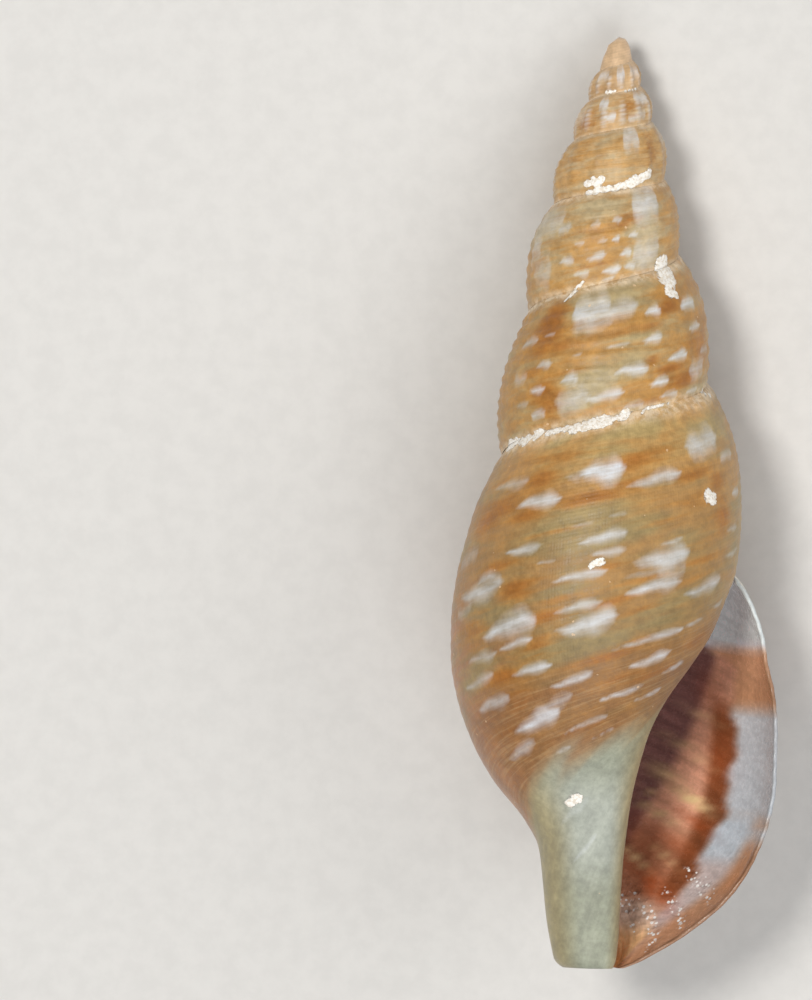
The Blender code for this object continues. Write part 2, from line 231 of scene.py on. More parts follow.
RUST_BACK = (
    (176, 385, 16, 34, 1.4), (171, 440, 8, 90, 0.9), (137, 385, 40, 26, 1.0),
    (266, 241, 26, 16, 0.9), (197, 243, 18, 20, 0.6), (258, 383, 44, 16, 0.9),
    (140, 566, 110, 26, 1.0), (290, 560, 56, 24, 1.0), (180, 592, 70, 16, 0.8),
    (235, 640, 90, 22, 0.6), (210, 690, 90, 14, 0.6), (290, 655, 70, 16, 0.6),
    (180, 720, 80, 16, 0.7), (250, 745, 90, 10, 0.6), (160, 800, 90, 14, 0.7),
    (230, 825, 70, 10, 0.7), (330, 640, 24, 90, 0.6), (340, 560, 20, 70, 0.8),
    (306, 500, 40, 20, 0.6), (128, 300, 20, 60, 0.7), (240, 345, 60, 8, 0.4),
    (96, 450, 16, 60, 0.8), (290, 430, 40, 10, 0.6), (240, 455, 50, 8, 0.5),
    (160, 180, 10, 30, 0.5), (240, 178, 30, 20, 0.4), (270, 600, 80, 12, 0.6),
    (190, 520, 120, 10, 0.5), (280, 480, 60, 12, 0.4), (200, 860, 70, 10, 0.6),
)
PALE_FRONT = (
    (572, 523, 90, 24, 0.9), (628, 432, 76, 20, 0.9), (600, 450, 60, 12, 0.5),
    (625, 528, 80, 22, 0.8), (561, 590, 60, 16, 0.7), (670, 600, 70, 16, 0.6),
    (570, 647, 110, 18, 0.8), (545, 680, 60, 10, 0.4), (680, 540, 40, 30, 0.5),
    (705, 430, 44, 30, 0.6), (484, 605, 40, 50, 0.6), (480, 670, 40, 36, 0.6),
    (577, 640, 60, 12, 0.6), (655, 620, 60, 12, 0.5), (610, 300, 70, 22, 0.9),
    (580, 390, 50, 36, 0.9), (640, 225, 30, 60, 0.7), (605, 208, 60, 16, 0.7),
    (628, 340, 60, 14, 0.4), (600, 380, 50, 16, 0.7), (640, 250, 26, 34, 0.7),
    (600, 715, 60, 10, 0.4), (560, 740, 50, 10, 0.4), (548, 225, 34, 40, 0.6),
)
PALE_BACK = (
    (140, 455, 52, 76, 1.0), (205, 470, 44, 60, 0.6), (205, 400, 44, 60, 0.6),
    (240, 410, 44, 50, 0.7), (190, 290, 90, 34, 0.7), (150, 330, 50, 50, 0.7),
    (250, 300, 40, 30, 0.5), (240, 225, 50, 26, 0.4), (240, 745, 90, 26, 0.6),
    (245, 585, 70, 34, 0.6), (210, 660, 70, 20, 0.5), (230, 785, 80, 20, 0.6),
    (260, 520, 60, 18, 0.7), (120, 520, 50, 26, 0.5), (280, 690, 60, 26, 0.5),
    (140, 610, 60, 30, 0.5), (180, 190, 50, 50, 0.4), (275, 430, 50, 24, 0.6),
)

# Chalky crust: points along each line or lump, and its width in pixels
CHALK_FRONT = (
    (((510, 446), (527, 439), (540, 435)), 9), (((540, 435), (556, 431), (571, 429)), 6),
    (((573, 429), (590, 425), (604, 422)), 9), (((604, 423), (622, 416), (626, 411)), 7),
    (((588, 195), (604, 192), (626, 187)), 6), (((626, 187), (636, 181), (647, 173)), 9),
    (((587, 184), (601, 182)), 7), (((660, 265), (664, 274), (668, 284)), 16),
    (((658, 262), (662, 260)), 7), (((666, 290), (671, 296)), 10), (((608, 94), (614, 91)), 4),
    (((625, 91), (634, 90)), 3),
    (((700, 393), (710, 396)), 6), (((705, 494), (712, 499)), 12), (((589, 566), (596, 562)), 8),
    # The last lump, (568, 801) to (580, 798), is a painted highlight on the pillar, laid on as crust
    (((567, 301), (581, 284)), 4), (((640, 412), (664, 404)), 3), (((568, 801), (580, 798)), 9),
)
CHALK_BACK = (
    (((269, 253), (277, 284), (279, 309), (278, 322)), 9), (((160, 236), (178, 235)), 6),
    (((184, 229), (193, 229)), 8), (((161, 207), (163, 214)), 8), (((239, 568), (246, 560)), 11),
    (((268, 550), (281, 545)), 10), (((119, 548), (139, 546)), 7),
    (((150, 546), (178, 540), (215, 531), (253, 519)), 5), (((100, 812), (112, 824), (124, 834)), 20),
    (((130, 898), (147, 905), (166, 912)), 24), (((188, 943), (206, 939)), 9),
    (((241, 868), (246, 871)), 8), (((222, 684), (222, 692)), 9), (((150, 854), (153, 857)), 9),
    (((148, 914), (158, 924)), 14),
)

# Streaks on the wall inside the aperture: middle x and y, length, height, strength
STREAK_INSIDE = (
    (694, 805, 30, 9, 1.5), (662, 820, 34, 7, 0.95), (637, 863, 24, 7, 0.85),
    (670, 779, 30, 14, 0.65), (688, 748, 36, 8, 0.4), (706, 720, 30, 7, 0.35),
    (667, 857, 24, 6, 0.45), (700, 765, 30, 6, 0.3), (655, 796, 24, 5, 0.4),
)
# Painted highlights: patches where white glints are painted on the lower wall, which is also glossier
# and pebbled there
GLINT_INSIDE = (
    (628, 914, 40, 15, 1.4), (652, 920, 44, 13, 1.3), (676, 909, 34, 14, 1.0),
    (704, 889, 30, 15, 1.3), (760, 700, 40, 30, 0.4), (745, 860, 40, 30, 0.5),
)
RED_INSIDE = (
    (692, 819, 40, 12, 0.9), (657, 889, 44, 22, 1.2), (668, 840, 60, 20, 0.6),
    (720, 760, 26, 60, 0.5), (716, 700, 24, 50, 0.5), (645, 840, 30, 30, 0.6),
)

# Colours as the photograph shows them, in sRGB from 0 to 255
STAGE_COLOURS = (
    (-7.0, (216, 184, 148)), (-6.2, (202, 168, 126)), (-5.0, (194, 156, 108)),
    (-4.0, (196, 156, 100)), (-3.0, (190, 146, 84)), (-2.0, (182, 134, 68)),
    (-1.0, (180, 138, 80)), (-0.7, (168, 128, 74)), (0.0, (160, 114, 70)),
)
CREAM_COLOURS = (
    (-7.0, (216, 190, 154)), (-3.0, (192, 174, 136)), (-2.0, (176, 160, 120)),
    (-1.2, (168, 149, 102)), (-0.8, (156, 136, 89)), (0.0, (154, 134, 90)),
)
BACK_COLOUR = (166, 112, 70)
SIDE_COLOUR = (170, 116, 80)
PLUM = (126, 84, 74)
PILLAR = (154, 157, 138)
PILLAR_WHITE = (166, 170, 158)
PILLAR_EDGE = (166, 146, 100)
LIP_COOL = (206, 215, 224)
LIP_WARM = (206, 144, 100)
LIP_LILAC = (208, 192, 188)
GOLD = (180, 124, 46)
RUST = (158, 97, 26)
WHITE = (220, 225, 231)
BASE_LINE = (186, 152, 108)
BASE_BROWN = (138, 90, 48)
# Pale seam along the sutures: partly their own colour, partly painted light against the shade in the
# crease
SEAM = (232, 212, 182)
SPECK = (236, 202, 160)
CHALK = (250, 246, 238)
DUST = (230, 219, 202)
# Plum and a lighter column inside the aperture, split along a painted shadow edge; the plum is partly
# the wall's own colour
DEEP_PLUM = (140, 98, 92)
DEEP_COLUMN = (242, 178, 146)
DEEP_BROWN = (136, 80, 50)
DEEP_RED = (184, 88, 42)
# Painted light: paler colours at the bottom of the hollow and in the canal, against the shade there
DEEP_PAINTED_LIGHT = (214, 182, 160)
CANAL_PAINTED_LIGHT = (246, 196, 142)
# Painted highlights: the colour of the glints inside the aperture
PAINTED_GLINT = (255, 252, 248)
PEACH = (255, 216, 160)

# How warm the lip is down its edge: photograph row, 0 bluish white to 1 orange brown
LIP_WARMTH = (
    (570, 0.0), (640, 0.03), (652, 0.85), (700, 0.9), (716, 0.1), (810, 0.05), (822, 0.5),
    (832, 0.1), (846, 0.8), (880, 0.9), (900, 0.75), (960, 0.8),
)

# The lip's coloured band in turns, how much wider it is at the top, and the painted light that
# makes its upper part lighter against the shade there
LIP_BAND = 0.089
LIP_TOP_BAND = 0.1
LIP_UPPER_PAINTED_LIGHT = 1.2

# Rows of the photograph where a colour begins or ends, and over how many rows
LIP_TOP_ENDS = (615, 52)
LIP_UPPER_ENDS = (640, 50)
LIP_COOL_FROM = (812, 8)
LIP_COOL_ENDS = (918, 20)
LIP_LILAC_FROM = (850, 20)
LIP_EDGE_WIDENS = (870, 60)
PLUM_FADES = (780, 60)
BESIDE_LIP_FROM = (690, 30)
DEEP_BROWN_FROM = (815, 40)
DEEP_PAINTED_LIGHT_FROM = (893, 16)
CANAL_PAINTED_LIGHT_FROM = (918, 24)

# Rows between which a colour lies, and how soft its ends are
PLUM_ROWS = (585, 905, 50)
PILLAR_WHITE_ROWS = (780, 875, 60)

# Painted light and shade on the front of the last whorl, lighter at its shoulder and darker lower
# down: share, light
WHORL_PAINTED_SHADING = ((0.0, 1.17), (0.2, 1.05), (0.42, 0.95), (0.7, 0.91), (0.87, 0.89), (1.05, 0.94))

# Where the plum wall behind the aperture turns lighter, along the edge of a painted shadow cast
# by the body whorl: a row and its turn, and turns a row
PAINTED_SHADOW_EDGE = (680, -0.125)
PAINTED_SHADOW_SLOPE = 0.00048

# Which way the lines on the pillar run, along the growth and across it
SLANT = (0.907, 0.42)


def monotone_tangents(x, y):
    """Tangents of a monotone cubic through rows of points; y may hold many curves."""
    width = np.diff(x)
    slope = np.diff(y, axis=0) / width.reshape((-1,) + (1,) * (y.ndim - 1))
    tangent = np.zeros_like(y)
    tangent[0], tangent[-1] = slope[0], slope[-1]
    for i in range(1, len(x) - 1):
        near, far = 2 * width[i] + width[i - 1], width[i] + 2 * width[i - 1]
        same = slope[i - 1] * slope[i] > 0
        before = np.where(same, slope[i - 1], 1.0)
        after = np.where(same, slope[i], 1.0)
        tangent[i] = np.where(same, (near + far) / (near / before + far / after), 0.0)
    return tangent


def hermite(x, y, tangent, at):
    """The cubic's value at one place, or at many places of a single curve."""
    i = np.clip(np.searchsorted(x, at, side="right") - 1, 0, len(x) - 2)
    width = x[i + 1] - x[i]
    t = (at - x[i]) / width
    return (
        y[i] * (1 + 2 * t) * (1 - t) ** 2
        + width * tangent[i] * t * (1 - t) ** 2
        + y[i + 1] * t * t * (3 - 2 * t)
        + width * tangent[i + 1] * t * t * (t - 1)
    )


def smooth_curve(points):
    """A curve through points that never overshoots, straight on past its last point."""
    x = np.array([p[0] for p in points], dtype=float)
    y = np.array([p[1] for p in points], dtype=float)
    tangent = monotone_tangents(x, y)

    def value(at):
        at = np.asarray(at, dtype=float)
        inside = hermite(x, y, tangent, np.clip(at, x[0], x[-1]))
        return inside + np.maximum(at - x[-1], 0.0) * tangent[-1]

    return value


def ease(t):
    """0 to 1 with no corner at either end."""
    t = np.clip(t, 0.0, 1.0)
    return t * t * (3 - 2 * t)


def past(value, start, over):
    """0 up to a start, then easing to 1 over a length."""
    return ease((value - start) / over)


def wave(count):
    """1 at each whole number and 0 halfway between them."""
    return 0.5 + 0.5 * np.cos(2 * pi * count)


suture_depth = smooth_curve([(turn, depth) for turn, depth, radius in SUTURE])
suture_radius = smooth_curve([(turn, radius) for turn, depth, radius in SUTURE])
whorl_bulge = smooth_curve(WHORL_BULGE)
whorl_lean = smooth_curve(WHORL_LEAN)
parietal_radius = smooth_curve(PARIETAL)
hollow_end = smooth_curve(HOLLOW_END)


def spire_point(turn, across):
    """Depth and radius on a spire whorl; across runs from 0 at its suture to 1 at the next."""
    depth = suture_depth(turn) * (1 - across) + suture_depth(turn + 1) * across
    straight = suture_radius(turn) * (1 - across) + suture_radius(turn + 1) * across
    swell = np.maximum(np.sin(pi * across ** whorl_lean(turn)), 0.0) ** BULGE_FULLNESS
    return depth, straight + whorl_bulge(turn) * suture_radius(turn) * swell


def first_quarter_radius(down):
    """The last whorl where it begins: a spire whorl first, then the wall inside the aperture."""
    across = np.clip(down / COVERED, 0.0, 1.0)
    return np.where(down <= COVERED, spire_point(-1.0, across)[1], parietal_radius(down))


QUARTERS = (first_quarter_radius, *map(smooth_curve, (FRONT, FAR_SIDE, BACK, LIP)))
QUARTER_TURNS = np.linspace(-1.0, 0.0, 5)


def body_radius(turn, down):
    """Radius of the last whorl for a column of places, down from its suture."""
    radii = np.array([profile(down) for profile in QUARTERS])
    return hermite(QUARTER_TURNS, radii, monotone_tangents(QUARTER_TURNS, radii), turn)


def radius_at_depth(turn, depth):
    """Radius of the last whorl at depths in mm."""
    start = suture_depth(turn)
    return body_radius(turn, (depth - start) / (LENGTH - start))


def place(turn, depth, radius):
    """Points of the upright shell, in mm: apex up, aperture towards -Y, lip towards +X."""
    around = -2 * pi * np.asarray(turn)
    return np.stack(
        np.broadcast_arrays(radius * np.cos(around), radius * np.sin(around), -depth), axis=-1
    )


def wall_thickness(turn):
    """The outer wall is thin at the lip's edge and thicker behind it."""
    return LIP_EDGE + (WALL - LIP_EDGE) * ease(-turn / LIP_THICKENS_OVER)


def growth_share(turn, depth):
    """How far a place is from the suture, as a share of the aperture of its own time."""
    return (depth - suture_depth(turn)) / (APERTURE * GROWTH ** turn)


# The shell's two materials
OUTSIDE = 0
INSIDE = 1


class Surface:
    """Corners, faces and what each corner carries, collected before the mesh is made."""

    def __init__(self):
        self.points, self.facts, self.faces, self.looks = [], [], [], []
        self.count = 0

    def add(self, points, turn, depth, share, within):
        """A row of corners; returns their numbers. Within is 0 outside and 1 on the far wall."""
        facts = [np.broadcast_to(fact, len(points)) for fact in (turn, depth, share, within)]
        self.points.append(points)
        self.facts.append(np.stack(facts, axis=-1))
        numbers = np.arange(self.count, self.count + len(points))
        self.count += len(points)
        return numbers

    def join(self, a, b, look, at_a=None, at_b=None):
        """Faces between two rows, which may have different numbers of corners."""
        if len(a) == len(b):
            quads = np.stack([a[:-1], a[1:], b[1:], b[:-1]], axis=-1)
            self.faces.extend(quads.tolist())
            self.looks.extend([look] * len(quads))
            return
        at_a = np.linspace(0, 1, len(a)) if at_a is None else at_a
        at_b = np.linspace(0, 1, len(b)) if at_b is None else at_b
        i = j = 0
        while i < len(a) - 1 or j < len(b) - 1:
            if i < len(a) - 1 and (j == len(b) - 1 or at_a[i + 1] <= at_b[j + 1]):
                self.faces.append([int(a[i]), int(a[i + 1]), int(b[j])])
                i += 1
            else:
                self.faces.append([int(a[i]), int(b[j + 1]), int(b[j])])
                j += 1
            self.looks.append(look)

    def fan(self, tip, row, look):
        """Triangles from one corner to each pair of neighbours in a row."""
        for first, second in zip(row[:-1], row[1:]):
            self.faces.append([int(tip), int(first), int(second)])
            self.looks.append(look)


# Relief of the outside, in millimetres
CORD_HEIGHT = 0.010
RIB_HEIGHT = 0.045
BEAD_HEIGHT = 0.02
SWELL_HEIGHT = 0.010

# How many of each there are in a turn
RIBS_PER_TURN = 13
KNOTS_PER_TURN = 41
BEADS_PER_TURN = 46
SWELLS_PER_TURN = 1.7

# Cords down a whorl of the spire, how many more the last whorl has, and its base from a share
CORDS = 11
MORE_CORDS = 14
BASE_CORDS = 20
BASE_FROM = 0.85

# How much higher cords stand on the middle whorls, and how far knots and wear lower them
SPIRE_CORDS = 4.6
KNOT_DEPTH = 0.12
WEAR_DEPTH = 0.2

# How narrow the tops of the cords and ribs are
CORD_POWER = 1.2
RIB_POWER = 1.5

# Where relief comes and goes: a turn or a share, and over how much of it
CORDS_FINER = (-1.9, 0.9)
CORDS_RISE = (-4.4, 1.0)
CORDS_LOWER = (-1.7, 1.0)
CORDS_START = (0.0, 0.04)
CORDS_FADE = (0.8, 0.3)
RIBS_START = (-6.3, 0.3)
RIBS_END = (-3.9, 1.2)
BEADS_START = (-6.0, 1.0)
NEXT_SUTURE = (0.94, 0.06)

# Beads along the suture: the share below it that they are at, and how wide they are
BEAD_PLACE = 0.035
BEAD_WIDTH = 0.028

# The suture's radius where relief has its full size, and its least size
FULL_SIZE_RADIUS = 1.7
LEAST_SIZE = 0.15

# Where the rounded tip ends, and its radius there
DOME_DEPTH = 0.30
DOME_RADIUS = 0.21

# Rows down a spire whorl: the tallest one's height, the fewest rows, and how they follow it
TALLEST_WHORL = 3.29
FEWEST_ROWS = 10
ROWS_POWER = 0.8


def cord_phase(turn, share):
    """Number of spiral cords between the suture and a place; closer set on the base."""
    per_share = CORDS + MORE_CORDS * past(turn, *CORDS_FINER)
    return share * per_share + BASE_CORDS * np.maximum(share - BASE_FROM, 0.0) ** 2


def spiral_cords(turn, share, across, size):
    """Height of the cords, with knots and worn places along them."""
    knots = np.cos(2 * pi * KNOTS_PER_TURN * turn + 4 * share + 2 * np.sin(5 * turn))
    worn = np.sin(7.3 * turn + 9 * share) * np.sin(3.1 * turn - 4 * share)
    broken = (1 - KNOT_DEPTH + KNOT_DEPTH * knots) * (1 - WEAR_DEPTH + WEAR_DEPTH * worn)
    on_spire = past(turn, *CORDS_RISE) * (1 - past(turn, *CORDS_LOWER))
    height = CORD_HEIGHT * (1 + SPIRE_CORDS * on_spire) * size
    height = height * past(across, *CORDS_START) * (1 - 0.8 * past(share, *CORDS_FADE))
    return height * wave(cord_phase(turn, share)) ** CORD_POWER * broken


def relief(turn, share, across):
    """How far the outside stands out from its smooth form."""
    size = np.clip(suture_radius(turn) / FULL_SIZE_RADIUS, LEAST_SIZE, 1.0)
    cords = spiral_cords(turn, share, across, size)
    early = past(turn, *RIBS_START) * (1 - past(turn, *RIBS_END))
    rib = wave(RIBS_PER_TURN * turn) ** RIB_POWER * np.sin(pi * np.clip(across, 0, 1))
    ribs = RIB_HEIGHT * early * rib * (0.6 + 0.4 * wave(cord_phase(turn, share)))
    bead = 0.5 + 0.5 * np.cos(2 * pi * BEADS_PER_TURN * turn + 3 * np.sin(9 * turn))
    edge = np.exp(-((share - BEAD_PLACE) / BEAD_WIDTH) ** 2) * past(turn, *BEADS_START)
    beads = BEAD_HEIGHT * size * bead * edge
    swell = np.sin(2 * pi * SWELLS_PER_TURN * turn + 5 * share) * np.sin(11 * share + 2.3 * turn)
    return cords + ribs + beads + SWELL_HEIGHT * size * swell - CORD_HEIGHT * size


def dome(depth):
    """The smooth first whorl bulges out to this radius at the very tip."""
    up = np.clip((DOME_DEPTH - depth) / DOME_DEPTH, 0.0, 1.0)
    return np.where(depth < DOME_DEPTH, DOME_RADIUS * np.sqrt(1 - up ** 2), 0.0)


def spire_column(turn):
    """Down one column of the spire: depth, radius, share, and place between two sutures."""
    height = (suture_depth(turn + 1) - suture_depth(turn)) / TALLEST_WHORL
    rows = max(FEWEST_ROWS, round(COVERED_ROWS * float(height) ** ROWS_POWER))
    across = np.linspace(0, 1, rows + 1)
    depth, radius = spire_point(turn, across)
    return depth, radius, SPIRE_SHARE * across, across


def deepest(turn):
    """How far down a column of the last whorl goes, a little past the end of the canal."""
    start = suture_depth(turn)
    return (LENGTH + END_MARGIN - start) / (LENGTH - start)


def body_column(turn, downs):
    """The same four down one column of the last whorl."""
    start = suture_depth(turn)
    down = downs * (deepest(turn) / deepest(-1.0))
    depth = start + down * (LENGTH - start)
    across = np.minimum(down / COVERED, 0.5)
    return depth, body_radius(turn, down), growth_share(turn, depth), across


def outside(surface):
    """Spire and last whorl. Returns the rows that the hollow, the tip and the foot join on to."""
    columns = round(-FIRST_TURN * STEPS)
    body_start = columns - STEPS
    cover = np.linspace(0, COVERED, COVERED_ROWS + 1)
    base = COVERED + (deepest(-1.0) - COVERED) * np.linspace(0, 1, BASE_ROWS + 1)[1:]
    downs = np.concatenate([cover, base])
    before = None
    kept = {"crown": []}
    for k in range(columns + 1):
        turn = FIRST_TURN + k / STEPS
        column = spire_column(turn) if k < body_start else body_column(turn, downs)
        depth, radius, share, across = column
        radius = radius + relief(turn, share, across) * (1 - past(across, *NEXT_SUTURE))
        radius = np.maximum(radius, dome(depth))
        row = surface.add(place(turn, depth, radius), turn, depth, share, 0.0)
        if k == 0:
            kept["first"] = row
        elif k == body_start:
            kept["start"] = (row, depth, radius)
            surface.join(before, row[:COVERED_ROWS + 1], OUTSIDE)
        else:
            surface.join(before, row, OUTSIDE)
        if k <= STEPS:
            kept["crown"].append(row[0])
        before = row
    kept["lip"] = (before, depth, radius)
    apex = surface.add(np.zeros((1, 3)), FIRST_TURN, 0.0, 0.0, 0.0)[0]
    surface.fan(apex, kept["crown"], OUTSIDE)
    surface.fan(apex, kept["first"][::-1], OUTSIDE)
    return kept


# The hollow's top lies this many walls below the suture, from this many turns behind the lip
HOLLOW_DROP = 1.4
HOLLOW_DROPS_OVER = 0.05

# The wall on a slope: the step that its slope is measured over, in mm, and its most growth
SLOPE_STEP = 0.05
WIDEST_WALL = 1.8

# How close the hollow's rows lie at its top, and how far the lip's edge is rounded forward
ROWS_CROWD = 0.9
RIM_BULGE = 0.3


def hollow_wall(turn, depth, radius, core):
    """Radius of the hollow's outer wall, a wall's thickness inside the outside."""
    slope = (radius_at_depth(turn, depth + SLOPE_STEP) - radius_at_depth(turn, depth)) / SLOPE_STEP
    thickness = wall_thickness(turn) * np.minimum(np.hypot(1, slope), WIDEST_WALL)
    wall = np.maximum(radius - thickness, core + 0.5 * (radius - core))
    wall[0] = core[0]
    return wall


def share_down(depth):
    """Each place of a column as a share of the way down it."""
    return (depth - depth[0]) / (depth[-1] - depth[0])


def hollow(surface, kept):
    """The hollow behind the aperture: rim of the lip, outer wall and columella side."""
    start_row, start_depth, start_radius = [part[COVERED_ROWS:] for part in kept["start"]]
    lip_row, lip_depth, lip_radius = kept["lip"]
    start_at, lip_at = share_down(start_depth), share_down(lip_depth)
    outer_at = np.linspace(0, 1, HOLLOW_OUTER_ROWS + 1) ** ROWS_CROWD
    inner_at = np.linspace(0, 1, HOLLOW_INNER_ROWS + 1)
    outer_before = inner_before = None
    for s in range(round(CAVITY_TURNS * STEPS) + 1):
        turn = -s / STEPS
        drop = HOLLOW_DROP * wall_thickness(turn) * ease(-turn / HOLLOW_DROPS_OVER)
        top, end = suture_depth(turn) + drop, float(hollow_end(turn))
        shrink = suture_radius(turn) / suture_radius(0.0)
        rows = outer_at if s else lip_at
        depth = top + rows * (end - top)
        radius = radius_at_depth(turn, depth) if s else lip_radius
        wall = hollow_wall(turn, depth, radius, np.interp(rows, start_at, start_radius) * shrink)
        share = growth_share(turn, depth)
        if s == 0:
            middle = place(turn, depth, 0.5 * (wall + radius))
            middle[:, 1] -= RIM_BULGE * LIP_EDGE
            middle = surface.add(middle, turn, depth, share, 0.5)
            surface.join(lip_row, middle, INSIDE)
            outer = surface.add(place(turn, depth, wall), turn, depth, share, 1.0)
            surface.join(middle, outer, INSIDE)
            inner = start_row
            kept["rim"] = (middle[-1], outer[-1])
        else:
            outer = surface.add(place(turn, depth, wall), turn, depth, share, 1.0)
            surface.join(outer_before, outer, INSIDE, lip_at if s == 1 else None, outer_at)
            depth = top + inner_at * (end - top)
            core = np.interp(inner_at, start_at, start_radius) * shrink
            inner = surface.add(
                place(turn, depth, core), turn - 1, depth, growth_share(turn, depth), 1.0
            )
            surface.join(inner, inner_before, INSIDE, inner_at, start_at if s == 1 else None)
            surface.join([outer_before[-1], outer[-1]], [inner_before[-1], inner[-1]], INSIDE)
        outer_before, inner_before = outer, inner
    surface.join(outer_before, inner_before, INSIDE, outer_at, inner_at)


# Middle of the pillar's far end, across and away from the viewer, in millimetres
FOOT_MIDDLE = (0.0, 0.15)


def foot(surface, kept):
    """Closes the far end of the pillar, past where it is cut off."""
    start_row = kept["start"][0]
    body_ends = start_row[-1] + np.arange(STEPS + 1) * len(start_row)
    ring = [*body_ends, *kept["rim"], body_ends[0]]
    middle = np.array([[*FOOT_MIDDLE, -(LENGTH + END_MARGIN)]])
    tip = surface.add(middle, -0.5, LENGTH, 1.0, 0.0)[0]
    surface.fan(tip, ring, OUTSIDE)


def lying_matrix():
    """Turns the upright shell onto its back, apex towards +Y and aperture up."""
    on_back = Matrix.Rotation(-pi / 2, 4, "X")
    roll = Matrix.Rotation(radians(ROLL), 4, "Y")
    plan = Matrix.Rotation(radians(-PLAN_TILT), 4, "Z")
    pitch = Matrix.Rotation(radians(-PITCH), 4, "X")
    return pitch @ plan @ roll @ on_back


# How much of its written size a mark fills, how strong and how sharp the white ones are, and
# how many half lengths a mark is worked out for
MARK_LENGTH = 0.97
MARK_HEIGHT = 0.86
MARK_STRENGTH = 0.69
MARK_SOFTNESS = 1.45
MARK_REACH = 2.2
RIB_WHITE = 0.55

# White marks this many times as long as high have a blunt end and a point: where along them
LONG_MARK = 1.3
BLUNT_AT = -0.5
BLUNT_REACH = 0.62
POINT_AT = 1.1

# How full the outlines of long and short marks are, and where and how fast a short one ends
LONG_FULLNESS = 0.8
SHORT_FULLNESS = 0.6
SHORT_END = 1.25
SHORT_OVER = 0.45

# Lumps of crust: their seed, pixels between them, how far they stray and reach in widths of
# their line, and where their edge is in reaches
CRUST_SEED = 7
CRUST_STEP = 2.5
CRUST_STRAY = 0.18
CRUST_REACH = (0.42, 0.66)
CRUST_EDGE = 1.5

# The wall inside the aperture has marks as far back as this turn
DEEPEST_MARK = -0.6


def mark_outline(along, is_long):
    """How high a white mark is, from 0 to 1, at places along it."""
    if not is_long:
        return np.clip((SHORT_END - np.abs(along)) / SHORT_OVER, 0, 1) ** SHORT_FULLNESS
    blunt = np.clip(1 - ((along - BLUNT_AT) / BLUNT_REACH) ** 2, 0, 1)
    point = np.clip((POINT_AT - along) / (POINT_AT - BLUNT_AT), 0, 1)
    return np.where(along < BLUNT_AT, blunt, point) ** LONG_FULLNESS


